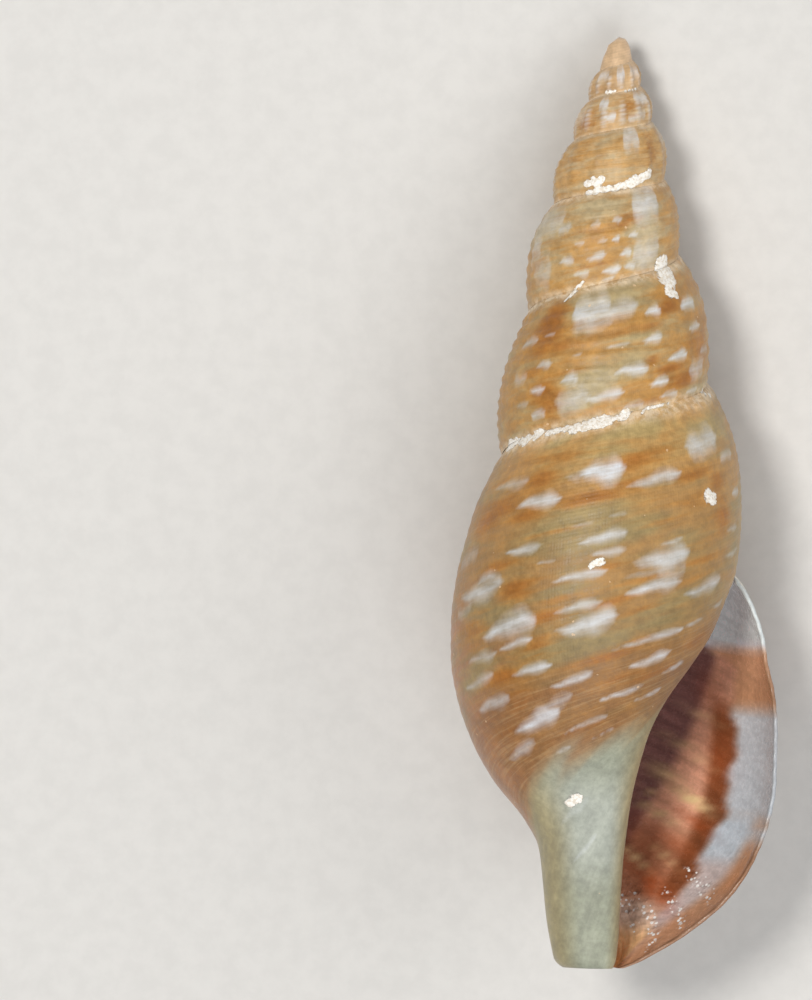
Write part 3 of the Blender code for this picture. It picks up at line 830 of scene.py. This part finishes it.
class Skin:
    """Where every corner of the surface is on the shell, for painting it."""

    def __init__(self, surface):
        self.points = np.concatenate(surface.points)
        self.turn, self.depth, self.share, self.within = np.concatenate(surface.facts).T
        self.behind = -self.turn
        self.row = APEX_PIXEL[1] + self.depth / PIXEL
        self.radius = np.maximum(np.hypot(self.points[:, 0], self.points[:, 1]), 0.05)
        self.side = -self.points[:, 1] / self.radius
        self.outer = self.within < 0.25
        self.faces = {
            "front": self.outer & (self.points[:, 1] < 0.02),
            "back": self.outer & (self.points[:, 1] > -0.02),
            "inside": (self.within > 0.75) & (self.turn > DEEPEST_MARK),
        }

    def shell_place(self, face, pixel):
        """Across the axis and down it, in mm, for a pixel of the photograph."""
        apex, tilt, mirror = APEX_PIXEL, PLAN_TILT, 1
        if face == "back":
            apex, tilt, mirror = BACK_APEX_PIXEL, BACK_TILT, -1
        right, down = pixel[0] - apex[0], pixel[1] - apex[1]
        lean = radians(tilt)
        across = (right * np.cos(lean) + down * np.sin(lean)) * PIXEL
        return mirror * across, (down * np.cos(lean) - right * np.sin(lean)) * PIXEL

    def corner(self, face, pixel):
        """The number of the corner that a pixel of the photograph shows."""
        across, depth = self.shell_place(face, pixel)
        seen = np.flatnonzero(self.faces[face])
        gap = (self.points[seen, 0] - across) ** 2 + (self.depth[seen] - depth) ** 2
        return seen[np.argmin(gap)]

    def local(self, face, mark):
        """Corners near a mark, and their places in it: -1 to 1 along the growth and across it."""
        x, y, length, height = mark[:4]
        middle = self.corner(face, (x, y))
        radius = self.radius[middle]
        slant = np.sqrt(max(1 - (self.points[middle, 0] / radius) ** 2, 0.2))
        half_length = MARK_LENGTH * length * PIXEL / 2 / slant
        half_height = MARK_HEIGHT * height * PIXEL / 2
        size = APERTURE * GROWTH ** self.turn[middle]
        along = (self.turn - self.turn[middle]) * 2 * pi * radius / half_length
        across = (self.share - self.share[middle]) * size / half_height
        allowed = self.faces["inside"] if face == "inside" else self.outer
        near = allowed & (np.abs(along) < MARK_REACH) & (np.abs(across) < MARK_REACH)
        near = np.flatnonzero(near)
        return near, along[near], across[near]

    def wedges(self, face, marks):
        """White marks, with a blunt end where they began to grow and a point where they ended."""
        field = np.zeros(len(self.turn))
        for mark in marks:
            near, along, across = self.local(face, mark)
            strength = MARK_STRENGTH * (mark[4] if len(mark) > 4 else 1.0)
            across = across + 0.22 * np.sin(2.6 * along + mark[0]) + 0.1 * np.sin(7 * along + mark[1])
            outline = mark_outline(along, mark[2] > LONG_MARK * mark[3])
            over = np.abs(across) / np.maximum(outline, 0.1)
            value = np.exp(-0.75 * over ** MARK_SOFTNESS) * ease(outline / 0.45)
            field[near] = np.maximum(field[near], value * strength)
        return field

    def patches(self, face, marks):
        """Soft round-ended patches."""
        field = np.zeros(len(self.turn))
        for mark in marks:
            near, along, across = self.local(face, mark)
            value = mark[4] * np.exp(-0.8 * (along ** 2 + across ** 2))
            field[near] = np.maximum(field[near], value)
        return field

    def crusts(self, face, lines):
        """Lumps along lines of points, measured straight across the shell."""
        field = np.zeros(len(self.turn))
        spread = np.random.default_rng(CRUST_SEED)
        for line, width in lines:
            for start, end in zip(line[:-1], line[1:]):
                run = np.subtract(end, start)
                steps = max(2, round(np.hypot(*run) / CRUST_STEP))
                for t in np.linspace(0, 1, steps):
                    stray = spread.uniform(-CRUST_STRAY, CRUST_STRAY, 2) * width
                    middle = self.points[self.corner(face, start + run * t + stray)]
                    reach = width * PIXEL * spread.uniform(*CRUST_REACH)
                    gap = np.linalg.norm(self.points - middle, axis=1) / reach
                    field = np.maximum(field, np.clip(CRUST_EDGE - gap, 0, 1))
        return field * self.outer


def front_and_back(painter, front, back):
    """Marks of the outside, painted on its two faces."""
    return np.maximum(painter("front", front), painter("back", back))


def linear(colour):
    """Linear light, from sRGB as a share of 255."""
    colour = np.asarray(colour, dtype=float) / 255
    return np.where(colour <= 0.04045, colour / 12.92, ((colour + 0.055) / 1.055) ** 2.4)


def toward(tint, colour, amount):
    """A step from each corner's tint towards one colour, or towards each corner's own."""
    return tint + (np.asarray(colour, dtype=float) - tint) * np.clip(amount, 0, 1)[:, None]


def all_over(skin, colour):
    """One colour on every corner."""
    return np.tile(np.asarray(colour, dtype=float), (len(skin.turn), 1))


def between(at, steps):
    """Numbers or colours between the steps of a table, each a place and its value."""
    places = [step[0] for step in steps]
    values = np.array([step[1] for step in steps], dtype=float)
    if values.ndim == 1:
        return np.interp(at, places, values)
    return np.stack([np.interp(at, places, column) for column in values.T], axis=-1)


def band(value, low, high, soft):
    """1 between two values and 0 outside them, with soft ends."""
    return ease((value - low) / soft + 0.5) * ease((high - value) / soft + 0.5)


def lip_tint(skin):
    """The lip's bands, bluish white and orange brown, and how much of the lip a corner is."""
    outer_edge = past(skin.turn + 0.03 * past(skin.row, *LIP_EDGE_WIDENS), -0.05, 0.03)
    inner_cool = past(skin.row, *LIP_COOL_FROM) * (1 - 0.8 * past(skin.row, *LIP_COOL_ENDS))
    warmth = between(skin.row, LIP_WARMTH) * (1 - inner_cool * (1 - outer_edge))
    tint = toward(all_over(skin, LIP_COOL), LIP_LILAC, past(skin.row, *LIP_LILAC_FROM))
    tint = toward(tint, LIP_WARM, warmth)
    # Painted light: the upper part of the lip is made lighter against the shade of the body whorl
    upper = 1 + (LIP_UPPER_PAINTED_LIGHT - 1) * (1 - past(skin.row, *LIP_UPPER_ENDS))
    tint = np.minimum(tint * upper[:, None], 255.0)
    # Painted shade: the very edge of the lip is made darker, more where it is warm, against the light
    # that catches it
    rim = past(skin.turn, -0.008, 0.008)
    tint = tint * (1 - rim * (0.16 + 0.12 * warmth))[:, None]
    ragged = 0.005 * np.sin(skin.row / 11.0) + 0.003 * np.sin(skin.row / 4.7 + 1)
    top = LIP_TOP_BAND * (1 - past(skin.row, *LIP_TOP_ENDS)) * (skin.within > 0.5)
    return tint, ease((skin.turn + LIP_BAND + top + ragged) / 0.018 + 0.5)


def paint_outside(skin):
    """The outside's broad colours, how plain each place is, and the pillar and the base."""
    tint = between(skin.turn, STAGE_COLOURS)
    last_whorl = past(skin.turn, -1.05, 0.1)
    tint = toward(tint, BACK_COLOUR, 0.85 * past(-skin.side, -0.25, 0.6) * last_whorl)
    edge = band(skin.turn, -0.62, -0.42, 0.1) * past(skin.share, 0.35, 0.3)
    tint = toward(tint, SIDE_COLOUR, 0.8 * edge)
    crescent = band(skin.turn, -0.27, -0.105, 0.07) * band(skin.row, *PLUM_ROWS)
    fading = 0.95 - 0.3 * past(skin.row, *PLUM_FADES) * past(skin.behind, 0.16, 0.06)
    tint = toward(tint, PLUM, crescent * fading)
    start = 1.07 + 0.07 * past(skin.behind, 0.25, 0.25)
    pillar = np.clip((skin.share - start) / 0.2 + 0.5, 0, 1) * past(skin.behind, 0.14, 0.05)
    lip, on_lip = lip_tint(skin)
    tint = toward(tint, lip, on_lip)
    early = 1 - past(skin.turn, -6.3, 1.2)
    plain = np.maximum(np.maximum(early, on_lip), 0.6 * crescent)
    base = band(skin.share, 0.84, start + 0.02, 0.14) * (1 - on_lip) * (1 - 0.6 * crescent)
    return tint, plain, pillar, base


def painted_whorl_shading(skin):
    """Painted light and shade on the front of the last whorl, from its shoulder down."""
    there = past(skin.turn, -1.05, 0.1) * past(skin.side, 0.2, 0.5)
    return (1 + (between(skin.share, WHORL_PAINTED_SHADING) - 1) * there)[:, None]


def paint_pillar(skin):
    """Greenish white, whiter in the middle of the view and yellower at both sides."""
    middle = band(skin.row, *PILLAR_WHITE_ROWS) * band(skin.turn, -0.9, -0.6, 0.1)
    tint = toward(all_over(skin, PILLAR), PILLAR_WHITE, middle)
    tint = toward(tint, PILLAR_EDGE, 0.85 * past(skin.behind, 0.77, 0.12))
    return toward(tint, PILLAR_EDGE, 0.65 * band(skin.turn, -0.62, -0.3, 0.12))


def seam(skin):
    """1 along the sutures, on both sides of them: the suture's own pale beading, and painted light
    against the shade in its crease.
    """
    below = np.exp(-((skin.share - 0.014) / 0.028) ** 2)
    above = np.exp(-((skin.share - SPIRE_SHARE) / 0.03) ** 2) * (skin.turn < -1.0)
    return np.maximum(below, 0.8 * above) * past(skin.turn, -6.4, 0.6) * skin.outer


def paint_inside(skin):
    """The colours inside the aperture: plum above, partly painted shadow, red brown below,
    painted light at the bottom, and the lip's bands.
    """
    # Painted shadow: plum where the body whorl's shadow falls on the wall, partly its own plum, and a
    # lighter column outside it
    edge = PAINTED_SHADOW_EDGE[1] - PAINTED_SHADOW_SLOPE * (skin.row - PAINTED_SHADOW_EDGE[0])
    lighter = ease((skin.turn - edge) / 0.02 + 0.5)
    tint = toward(all_over(skin, DEEP_PLUM), DEEP_COLUMN, lighter)
    tint = toward(tint, DEEP_BROWN, 0.6 * past(skin.row, *DEEP_BROWN_FROM))
    beside_lip = band(skin.turn, -LIP_BAND - 0.032, -LIP_BAND + 0.02, 0.02)
    tint = toward(tint, DEEP_BROWN, beside_lip * past(skin.row, *BESIDE_LIP_FROM))
    # Painted light: the bottom of the hollow and the canal are made paler against the shade there
    tint = toward(tint, DEEP_PAINTED_LIGHT, past(skin.row, *DEEP_PAINTED_LIGHT_FROM))
    tint = toward(tint, CANAL_PAINTED_LIGHT, past(skin.row, *CANAL_PAINTED_LIGHT_FROM))
    lip, on_lip = lip_tint(skin)
    return toward(tint, lip, on_lip), np.maximum(0.78 * on_lip, 0.5)


def spire_ribs(skin):
    """White tops on the ribs of the early whorls."""
    ribs = wave(RIBS_PER_TURN * skin.turn) ** 2
    rows = 0.6 + 0.4 * np.cos(2 * pi * cord_phase(skin.turn, skin.share))
    early = band(skin.turn, -6.0, -4.0, 0.6) * band(skin.share, 0.2, 0.66, 0.25)
    return RIB_WHITE * ribs * rows * early * skin.outer


# Lengths in mm of the places that the noise follows: round a turn, and from wall to wall
TURN_LENGTH = 2 * pi * 2.6
WALL_APART = 3.0

# How finely the pillar's noise lies, across its lines and down them
PILLAR_NOISE = (1.6, 0.35)


def paint(skin):
    """Everything that the materials read at each corner, by name."""
    inside = skin.within > 0.25
    tint, plain, pillar, base = paint_outside(skin)
    deep_tint, deep_plain = paint_inside(skin)
    # Painted light and shade on the last whorl's front, multiplied into the tint and the cream
    light = painted_whorl_shading(skin)
    across, down = skin.turn * TURN_LENGTH, skin.share * APERTURE
    slant = across * SLANT[1] - down * SLANT[0]
    white = front_and_back(skin.wedges, WHITE_FRONT + WHITE_SPIRE, WHITE_BACK)
    return {
        "tint": linear(np.where(inside[:, None], deep_tint, np.minimum(tint * light, 255.0))),
        "cream": linear(between(skin.turn, CREAM_COLOURS) * light),
        "ivory": linear(paint_pillar(skin)),
        "seam": seam(skin),
        "flow": np.stack([across, down, WALL_APART * skin.within], axis=-1),
        "slant": np.stack([PILLAR_NOISE[0] * slant, PILLAR_NOISE[1] * down, 0 * slant], axis=-1),
        "turn": skin.turn,
        "plain": np.where(inside, deep_plain, plain),
        "pillar": pillar,
        "base": base,
        "white": np.maximum(white, spire_ribs(skin)),
        "rust": front_and_back(skin.patches, RUST_FRONT, RUST_BACK),
        "pale": front_and_back(skin.patches, PALE_FRONT, PALE_BACK),
        "chalk": front_and_back(skin.crusts, CHALK_FRONT, CHALK_BACK),
        "peach": skin.patches("inside", STREAK_INSIDE),
        "red": skin.patches("inside", RED_INSIDE),
        "glint": skin.patches("inside", GLINT_INSIDE),
        "cords": cord_phase(skin.turn, skin.share),
    }


def store(data, name, values):
    """Keeps one value, vector or colour for each corner of the mesh."""
    kind, field = "FLOAT_VECTOR", "vector"
    if values.ndim == 1:
        kind, field = "FLOAT", "value"
    elif name in ("tint", "cream", "ivory"):
        kind, field = "FLOAT_COLOR", "color"
        values = np.concatenate([values, np.ones((len(values), 1))], axis=1)
    layer = data.attributes.new(name, kind, "POINT")
    layer.data.foreach_set(field, values.astype(np.float32).ravel())


# How far the chalky crust stands out, in millimetres
CRUST_HEIGHT = 0.027

# How the cut end of the canal is rounded: over what length, and by what share of its radius
ROUND_END = 0.22
ROUND_SHARE = 0.16

# A corner this close to the cut, in millimetres, is on it
ON_CUT = 1e-4


def cut_end(data):
    """Cuts the canal off square at its end, and closes the cut."""
    mesh = bmesh.new()
    mesh.from_mesh(data)
    bmesh.ops.bisect_plane(
        mesh,
        geom=mesh.verts[:] + mesh.edges[:] + mesh.faces[:],
        plane_co=(0, 0, -LENGTH),
        plane_no=(0, 0, -1),
        clear_outer=True,
    )
    open_edges = [edge for edge in mesh.edges if edge.is_boundary]
    rim = [e for e in open_edges if all(abs(v.co.z + LENGTH) < ON_CUT for v in e.verts)]
    bmesh.ops.triangle_fill(mesh, edges=rim, use_beauty=True, use_dissolve=False)
    mesh.to_mesh(data)
    mesh.free()


def make_shell():
    """The shell's mesh, upright and in millimetres."""
    surface = Surface()
    kept = outside(surface)
    hollow(surface, kept)
    foot(surface, kept)
    skin = Skin(surface)
    painted = paint(skin)
    raised = CRUST_HEIGHT * painted["chalk"] * skin.outer / skin.radius
    near_end = np.clip((skin.depth - LENGTH) / ROUND_END + 1, 0, 1.2)
    skin.points[:, :2] *= (1 + raised - ROUND_SHARE * near_end ** 3)[:, None]

    data = bpy.data.meshes.new("shell_surface")
    data.from_pydata(skin.points.tolist(), [], surface.faces)
    data.polygons.foreach_set("material_index", surface.looks)
    for name, values in painted.items():
        store(data, name, values)
    cut_end(data)
    return data


class Nodes:
    """Short calls for the nodes of one material."""

    def __init__(self, name):
        self.material = bpy.data.materials.new(name)
        self.material.use_nodes = True
        self.tree = self.material.node_tree
        self.shader = self.tree.nodes["Principled BSDF"]

    def put(self, socket, value):
        """Links a socket, or sets a number, vector or colour."""
        if isinstance(value, bpy.types.NodeSocket):
            self.tree.links.new(value, socket)
        elif isinstance(value, (tuple, list, np.ndarray)):
            numbers = [float(part) for part in value]
            socket.default_value = numbers + [1.0] * (len(socket.default_value) - len(numbers))
        else:
            socket.default_value = value

    def finish(self, **inputs):
        """Sets the shader's inputs, with _ for the spaces in their names."""
        for name, value in inputs.items():
            self.put(self.shader.inputs[name.replace("_", " ")], value)
        return self.material

    def attribute(self, name, output="Fac"):
        node = self.tree.nodes.new("ShaderNodeAttribute")
        node.attribute_name = name
        return node.outputs[output]

    def math(self, operation, *values):
        node = self.tree.nodes.new("ShaderNodeMath")
        node.operation = operation
        for socket, value in zip(node.inputs, values):
            self.put(socket, value)
        return node.outputs[0]

    def times(self, first, second):
        return self.math("MULTIPLY", first, second)

    def plus(self, value, part, factor):
        """A value and a part of another one."""
        return self.math("MULTIPLY_ADD", part, factor, value)

    def jitter(self, value, noise, amount):
        """A value moved up and down by a noise."""
        return self.plus(value, self.math("SUBTRACT", noise, 0.5), amount)

    def ripple(self, value, count=1):
        """A cosine that comes back this many times for each whole number."""
        return self.math("COSINE", self.times(value, 2 * pi * count))

    def noise(self, vector, scale, detail=3.0, roughness=0.6, distortion=0.0):
        node = self.tree.nodes.new("ShaderNodeTexNoise")
        settings = (vector, scale, detail, roughness, distortion)
        for name, value in zip(("Vector", "Scale", "Detail", "Roughness", "Distortion"), settings):
            self.put(node.inputs[name], value)
        return node.outputs[0]

    def drawn_out(self, vector, finely, *settings):
        """Noise that lies more or less finely along the first two directions of a vector."""
        node = self.tree.nodes.new("ShaderNodeVectorMath")
        node.operation = "MULTIPLY"
        self.put(node.inputs[0], vector)
        self.put(node.inputs[1], (*finely, 1.0))
        return self.noise(node.outputs[0], 1.0, *settings)

    def cells(self, vector, scale, output="Distance"):
        node = self.tree.nodes.new("ShaderNodeTexVoronoi")
        self.put(node.inputs["Vector"], vector)
        node.inputs["Scale"].default_value = scale
        return node.outputs[output]

    def step(self, value, low, high, start=0.0, end=1.0):
        """A soft step from one value to another as the input goes from low to high."""
        node = self.tree.nodes.new("ShaderNodeMapRange")
        node.interpolation_type = "SMOOTHSTEP"
        for socket, number in zip(node.inputs, (value, low, high, start, end)):
            self.put(socket, number)
        return node.outputs[0]

    def mix(self, amount, first, second, blend="MIX"):
        node = self.tree.nodes.new("ShaderNodeMix")
        node.data_type = "RGBA"
        node.blend_type = blend
        self.put(node.inputs[0], amount)
        self.put(node.inputs[6], first)
        self.put(node.inputs[7], second)
        return node.outputs[2]

    def shade(self, colour, noise, dark, light, low=0.3, high=0.7):
        """A colour made darker and lighter by a noise."""
        return self.times_grey(colour, self.step(noise, low, high, dark, light))

    def times_grey(self, colour, value):
        node = self.tree.nodes.new("ShaderNodeCombineColor")
        for socket in node.inputs:
            self.put(socket, value)
        return self.mix(1.0, colour, node.outputs[0], "MULTIPLY")

    def bump(self, height):
        node = self.tree.nodes.new("ShaderNodeBump")
        node.inputs["Distance"].default_value = BUMP_DISTANCE
        self.put(node.inputs["Height"], height)
        return node.outputs[0]

    def object_place(self):
        return self.tree.nodes.new("ShaderNodeTexCoord").outputs["Object"]


# How far a bump of height 1 stands out, in metres
BUMP_DISTANCE = 0.000006

# Fine texture of the outside
THREADS_PER_TURN = 290
FINE_CORDS = 3

# How finely noise lies: cells a metre, then detail and roughness where they aren't the usual
GRAIN = (9000.0, 4.0, 0.65)
SOFT_GRAIN = (3200.0,)
PILLAR_PATCHES = (700.0,)
SEAM_BEADS = (6000.0, 3.0, 0.7)
CRUMBS = (14000.0, 4.0, 0.7)
POWDER = (20000.0, 2.0, 0.5)
PEBBLES = (5500.0, 2.0, 0.5)
FLOOR_GRAIN = (2500.0,)
SPECK_CELLS = 3000.0
PAINTED_GLINT_CELLS = 13000.0

# How finely drawn-out noise lies, along the growth and across it
CLOUDS = (0.55, 1.5)
STREAKS = (0.9, 4.5)
BLOTCHES = (1.8, 3.2)
FINGERS = (1.6, 8.0)
STRANDS = (0.8, 15.0)
BRUSH = (0.8, 0.5)
INSIDE_STREAKS = (1.1, 5.0)


def clouded(n, clouds, fingers):
    """Tan with cream and rust clouds: streaks on the last whorl and blotches on the spire."""
    flow, bare = n.attribute("flow", "Vector"), n.math("SUBTRACT", 1.0, n.attribute("plain"))
    streaks = n.drawn_out(flow, STREAKS)
    blotches = n.drawn_out(flow, BLOTCHES)
    grown = n.step(n.attribute("turn"), -2.4, -1.2)
    blotches = n.times(blotches, n.math("SUBTRACT", 1.0, grown))
    streaks = n.math("ADD", n.times(streaks, grown), blotches)
    pale = n.math("ADD", n.attribute("pale"), n.plus(-1.08, clouds, 2.2))
    pale = n.plus(pale, n.attribute("white"), 0.6)
    pale = n.step(n.plus(pale, streaks, 0.7), 0.15, 0.95)
    tint, cream = n.attribute("tint", "Color"), n.attribute("cream", "Color")
    colour = n.mix(n.times(n.times(pale, 0.9), bare), tint, cream)
    rust = n.math("ADD", n.attribute("rust"), n.plus(-0.68, streaks, 1.4))
    rust = n.math("SUBTRACT", rust, n.times(pale, 0.2))
    rust = n.plus(rust, fingers, 0.25)
    colour = n.mix(n.times(n.step(rust, -0.1, 0.7, 0.0, 0.6), bare), colour, linear(GOLD))
    return n.mix(n.times(n.step(rust, 0.2, 1.15, 0.0, 0.92), bare), colour, linear(RUST))


def with_base(n, colour, clouds):
    """Brown low on the last whorl, with fine pale lines."""
    strands = n.drawn_out(n.attribute("flow", "Vector"), STRANDS)
    dark = n.times(n.attribute("base"), n.step(clouds, 0.3, 0.7, 0.35, 0.85))
    colour = n.mix(dark, colour, linear(BASE_BROWN))
    lines = n.times(n.attribute("base"), n.step(strands, 0.46, 0.66))
    return n.mix(n.times(lines, 0.32), colour, linear(BASE_LINE))


def with_pillar(n, colour, spot):
    """The greenish white pillar, with slanting lines and brushed edges."""
    slant = n.attribute("slant", "Vector")
    ivory = n.shade(n.attribute("ivory", "Color"), n.noise(slant, 1.0), 0.92, 1.10)
    ivory = n.shade(ivory, n.noise(spot, *PILLAR_PATCHES), 0.91, 1.10)
    brush = n.drawn_out(slant, BRUSH, 2.0, 0.5)
    on_pillar = n.jitter(n.attribute("pillar"), brush, 1.1)
    return n.mix(n.step(on_pillar, 0.2, 0.8), colour, ivory)


def with_marks(n, colour, fingers, soft_grain):
    """The white marks, with ragged edges."""
    ragged = n.jitter(n.jitter(1.0, fingers, 1.2), soft_grain, 1.2)
    white = n.plus(-0.08, n.times(n.attribute("white"), ragged), 1.08)
    white = n.math("MINIMUM", n.math("MAXIMUM", white, 0.0), 0.94)
    return n.mix(white, colour, linear(WHITE))


def outside_material():
    """Tan shell with rust and cream clouds, white marks, cords, fine threads and chalk."""
    n = Nodes("shell_outside")
    flow, spot = n.attribute("flow", "Vector"), n.object_place()
    plain, cords = n.attribute("plain"), n.attribute("cords")
    clouds = n.drawn_out(flow, CLOUDS, 4.0, 0.6, 0.5)
    fingers = n.drawn_out(flow, FINGERS)
    grain, soft_grain = n.noise(spot, *GRAIN), n.noise(spot, *SOFT_GRAIN)

    colour = clouded(n, clouds, fingers)
    valleys = n.jitter(n.ripple(cords), fingers, 2.5)
    colour = n.shade(colour, valleys, 0.95, 1.01, -1.2, 0.8)
    colour = with_pillar(n, with_base(n, colour, clouds), spot)
    # Pale beads along the sutures: partly their own colour, partly painted light against the shade in
    # the crease
    line = n.times(n.attribute("seam"), n.step(n.noise(spot, *SEAM_BEADS), 0.36, 0.6, 0.25, 1.0))
    colour = n.mix(n.times(line, 0.85), colour, linear(SEAM))
    colour = n.shade(n.shade(colour, grain, 0.89, 1.11), soft_grain, 0.89, 1.10)
    colour = with_marks(n, colour, fingers, soft_grain)

    pick = n.cells(spot, SPECK_CELLS, "Color")
    size = n.times(pick, n.step(grain, 0.4, 0.6, 0.04, 0.12))
    specks = n.math("LESS_THAN", n.cells(spot, SPECK_CELLS), size)
    specks = n.times(n.math("GREATER_THAN", pick, 0.55), specks)
    colour = n.mix(n.times(specks, 0.55), colour, linear(SPECK))

    crumbs = n.noise(spot, *CRUMBS)
    chalk = n.step(n.jitter(n.attribute("chalk"), crumbs, 1.3), 0.42, 0.62)
    powder = n.step(n.noise(spot, *POWDER), 0.38, 0.56)
    colour = n.mix(chalk, colour, n.mix(powder, linear(DUST), linear(CHALK)))

    threads = n.ripple(n.attribute("turn"), THREADS_PER_TURN)
    relief = n.plus(n.times(n.ripple(cords, FINE_CORDS), 0.10), threads, 0.07)
    relief = n.times(n.plus(relief, grain, 1.2), n.plus(1.0, plain, -0.6))
    relief = n.plus(relief, n.times(crumbs, chalk), 3.5)
    relief = n.plus(relief, specks, 1.5)
    rough = n.math("ADD", n.step(grain, 0.3, 0.7, 0.42, 0.60), n.times(chalk, 0.3))
    return n.finish(
        Base_Color=colour, Roughness=rough, IOR=1.5, Sheen_Weight=0.16, Sheen_Roughness=0.4,
        Normal=n.bump(relief),
    )


def inside_material():
    """Glossy plum and red brown wall inside the aperture, with peach streaks and painted glints."""
    n = Nodes("shell_inside")
    flow, spot = n.attribute("flow", "Vector"), n.object_place()
    streaks = n.drawn_out(flow, INSIDE_STREAKS)
    clouds, grain = n.noise(flow, 1.3, 4.0), n.noise(spot, *GRAIN)
    bare = n.math("SUBTRACT", 1.0, n.attribute("plain"))
    streaky = n.math("SUBTRACT", n.step(streaks, 0.3, 0.7, 0.80, 1.20), 1.0)
    colour = n.times_grey(n.attribute("tint", "Color"), n.plus(1.0, streaky, n.times(bare, 1.6)))
    colour = n.shade(colour, grain, 0.92, 1.08)
    red = n.times(n.attribute("red"), n.step(clouds, 0.3, 0.6, 0.5, 1.0))
    colour = n.mix(n.times(red, 0.8), colour, linear(DEEP_RED))
    peach = n.times(n.attribute("peach"), n.step(streaks, 0.3, 0.6, 0.6, 1.0))
    colour = n.mix(peach, colour, linear(PEACH))

    # Painted highlights: white glints in the glint patches, which also get a lower roughness and
    # pebbled bumps
    glint = n.attribute("glint")
    chosen = n.math("GREATER_THAN", n.cells(spot, PAINTED_GLINT_CELLS, "Color"), 0.42)
    painted_glints = n.times(chosen, n.step(n.cells(spot, PAINTED_GLINT_CELLS), 0.3, 0.5, 1.0, 0.0))
    colour = n.mix(n.times(painted_glints, n.step(glint, 0.45, 0.7)), colour, linear(PAINTED_GLINT))
    relief = n.plus(n.times(grain, 1.5), n.ripple(n.attribute("cords")), 0.5)
    relief = n.plus(relief, n.times(n.noise(spot, *PEBBLES), glint), 14.0)
    rough = n.plus(n.step(grain, 0.3, 0.7, 0.18, 0.32), glint, -0.12)
    return n.finish(Base_Color=colour, Roughness=rough, IOR=1.5, Normal=n.bump(relief))


# The floor's colour, in sRGB from 0 to 255
FLOOR_COLOUR = (212, 210, 206)


def floor_material():
    """Pale matt card with a faint grain."""
    n = Nodes("floor")
    grain = n.noise(n.object_place(), *FLOOR_GRAIN)
    return n.finish(Base_Color=n.shade(linear(FLOOR_COLOUR), grain, 0.97, 1.02), Roughness=0.9)


data = make_shell()
data.materials.append(outside_material())
data.materials.append(inside_material())
data.transform(Matrix.Scale(MM, 4))
data.transform(lying_matrix())
corners = np.empty(len(data.vertices) * 3, dtype=np.float32)
data.vertices.foreach_get("co", corners)
corners = corners.reshape(-1, 3).astype(float)
low, high = corners.min(axis=0), corners.max(axis=0)
shift = np.array([-(low[0] + high[0]) / 2, -(low[1] + high[1]) / 2, -low[2] - FLAT_DEPTH * MM])
corners = np.clip(corners + shift, np.array(solid_box[0]), np.array(solid_box[1]))
data.vertices.foreach_set("co", corners.astype(np.float32).ravel())
data.shade_smooth()
data.update()

shell = bpy.data.objects.new("shell_skin", data)
bpy.context.scene.collection.objects.link(shell)
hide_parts("shell")
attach(shell, "root")

# The floor, its width and how far it is below the shell, in metres
FLOOR_SIZE = 0.6
FLOOR_DROP = 0.00001

bpy.ops.mesh.primitive_plane_add(size=FLOOR_SIZE, location=(0, 0, -FLOOR_DROP))
floor = bpy.context.object
floor.name = "floor"
floor.data.materials.append(floor_material())

# Lens and sensor of the camera, which looks square onto the shell, in millimetres
LENS = 400.0
SENSOR = 36.0

pitch = Matrix.Rotation(radians(-PITCH), 4, "X")
aim = Vector(shift) + pitch @ Vector((
    (PHOTO_SIZE[0] / 2 - APEX_PIXEL[0]) * PIXEL * MM,
    -(PHOTO_SIZE[1] / 2 - APEX_PIXEL[1]) * PIXEL * MM,
    0.0,
))
distance = PHOTO_SIZE[1] * PIXEL * MM / SENSOR * LENS
camera_data = bpy.data.cameras.new("camera")
camera_data.lens = LENS
camera_data.sensor_width = SENSOR
camera = bpy.data.objects.new("camera", camera_data)
camera.matrix_world = Matrix.Translation(aim + pitch @ Vector((0, 0, distance))) @ pitch
bpy.context.scene.collection.objects.link(camera)
bpy.context.scene.camera = camera

# Lights: name, place and width in metres, watts, colour
LIGHTS = (
    ("key", (-0.045, 0.045, 0.125), 0.035, 0.115, (1.0, 0.98, 0.95)),
    ("fill", (0.02, -0.07, 0.12), 0.12, 0.085, (0.97, 0.98, 1.0)),
    ("side", (0.11, 0.02, 0.09), 0.10, 0.048, (1.0, 0.98, 0.96)),
)
SKY_COLOUR = (0.9, 0.92, 0.95, 1.0)
SKY_STRENGTH = 0.25


def area_light(name, spot, width, power, colour):
    """A round light that shines at the shell."""
    light = bpy.data.lights.new(name, "AREA")
    light.shape = "DISK"
    light.size = width
    light.energy = power
    light.color = colour
    lamp = bpy.data.objects.new(name, light)
    turned = (-Vector(spot)).to_track_quat("-Z", "Y").to_matrix().to_4x4()
    lamp.matrix_world = Matrix.Translation(spot) @ turned
    bpy.context.scene.collection.objects.link(lamp)


for lamp in LIGHTS:
    area_light(*lamp)
world = bpy.data.worlds.new("studio")
world.use_nodes = True
sky = world.node_tree.nodes["Background"]
sky.inputs["Color"].default_value = SKY_COLOUR
sky.inputs["Strength"].default_value = SKY_STRENGTH
bpy.context.scene.world = world
bpy.context.scene.view_settings.view_transform = "Standard"
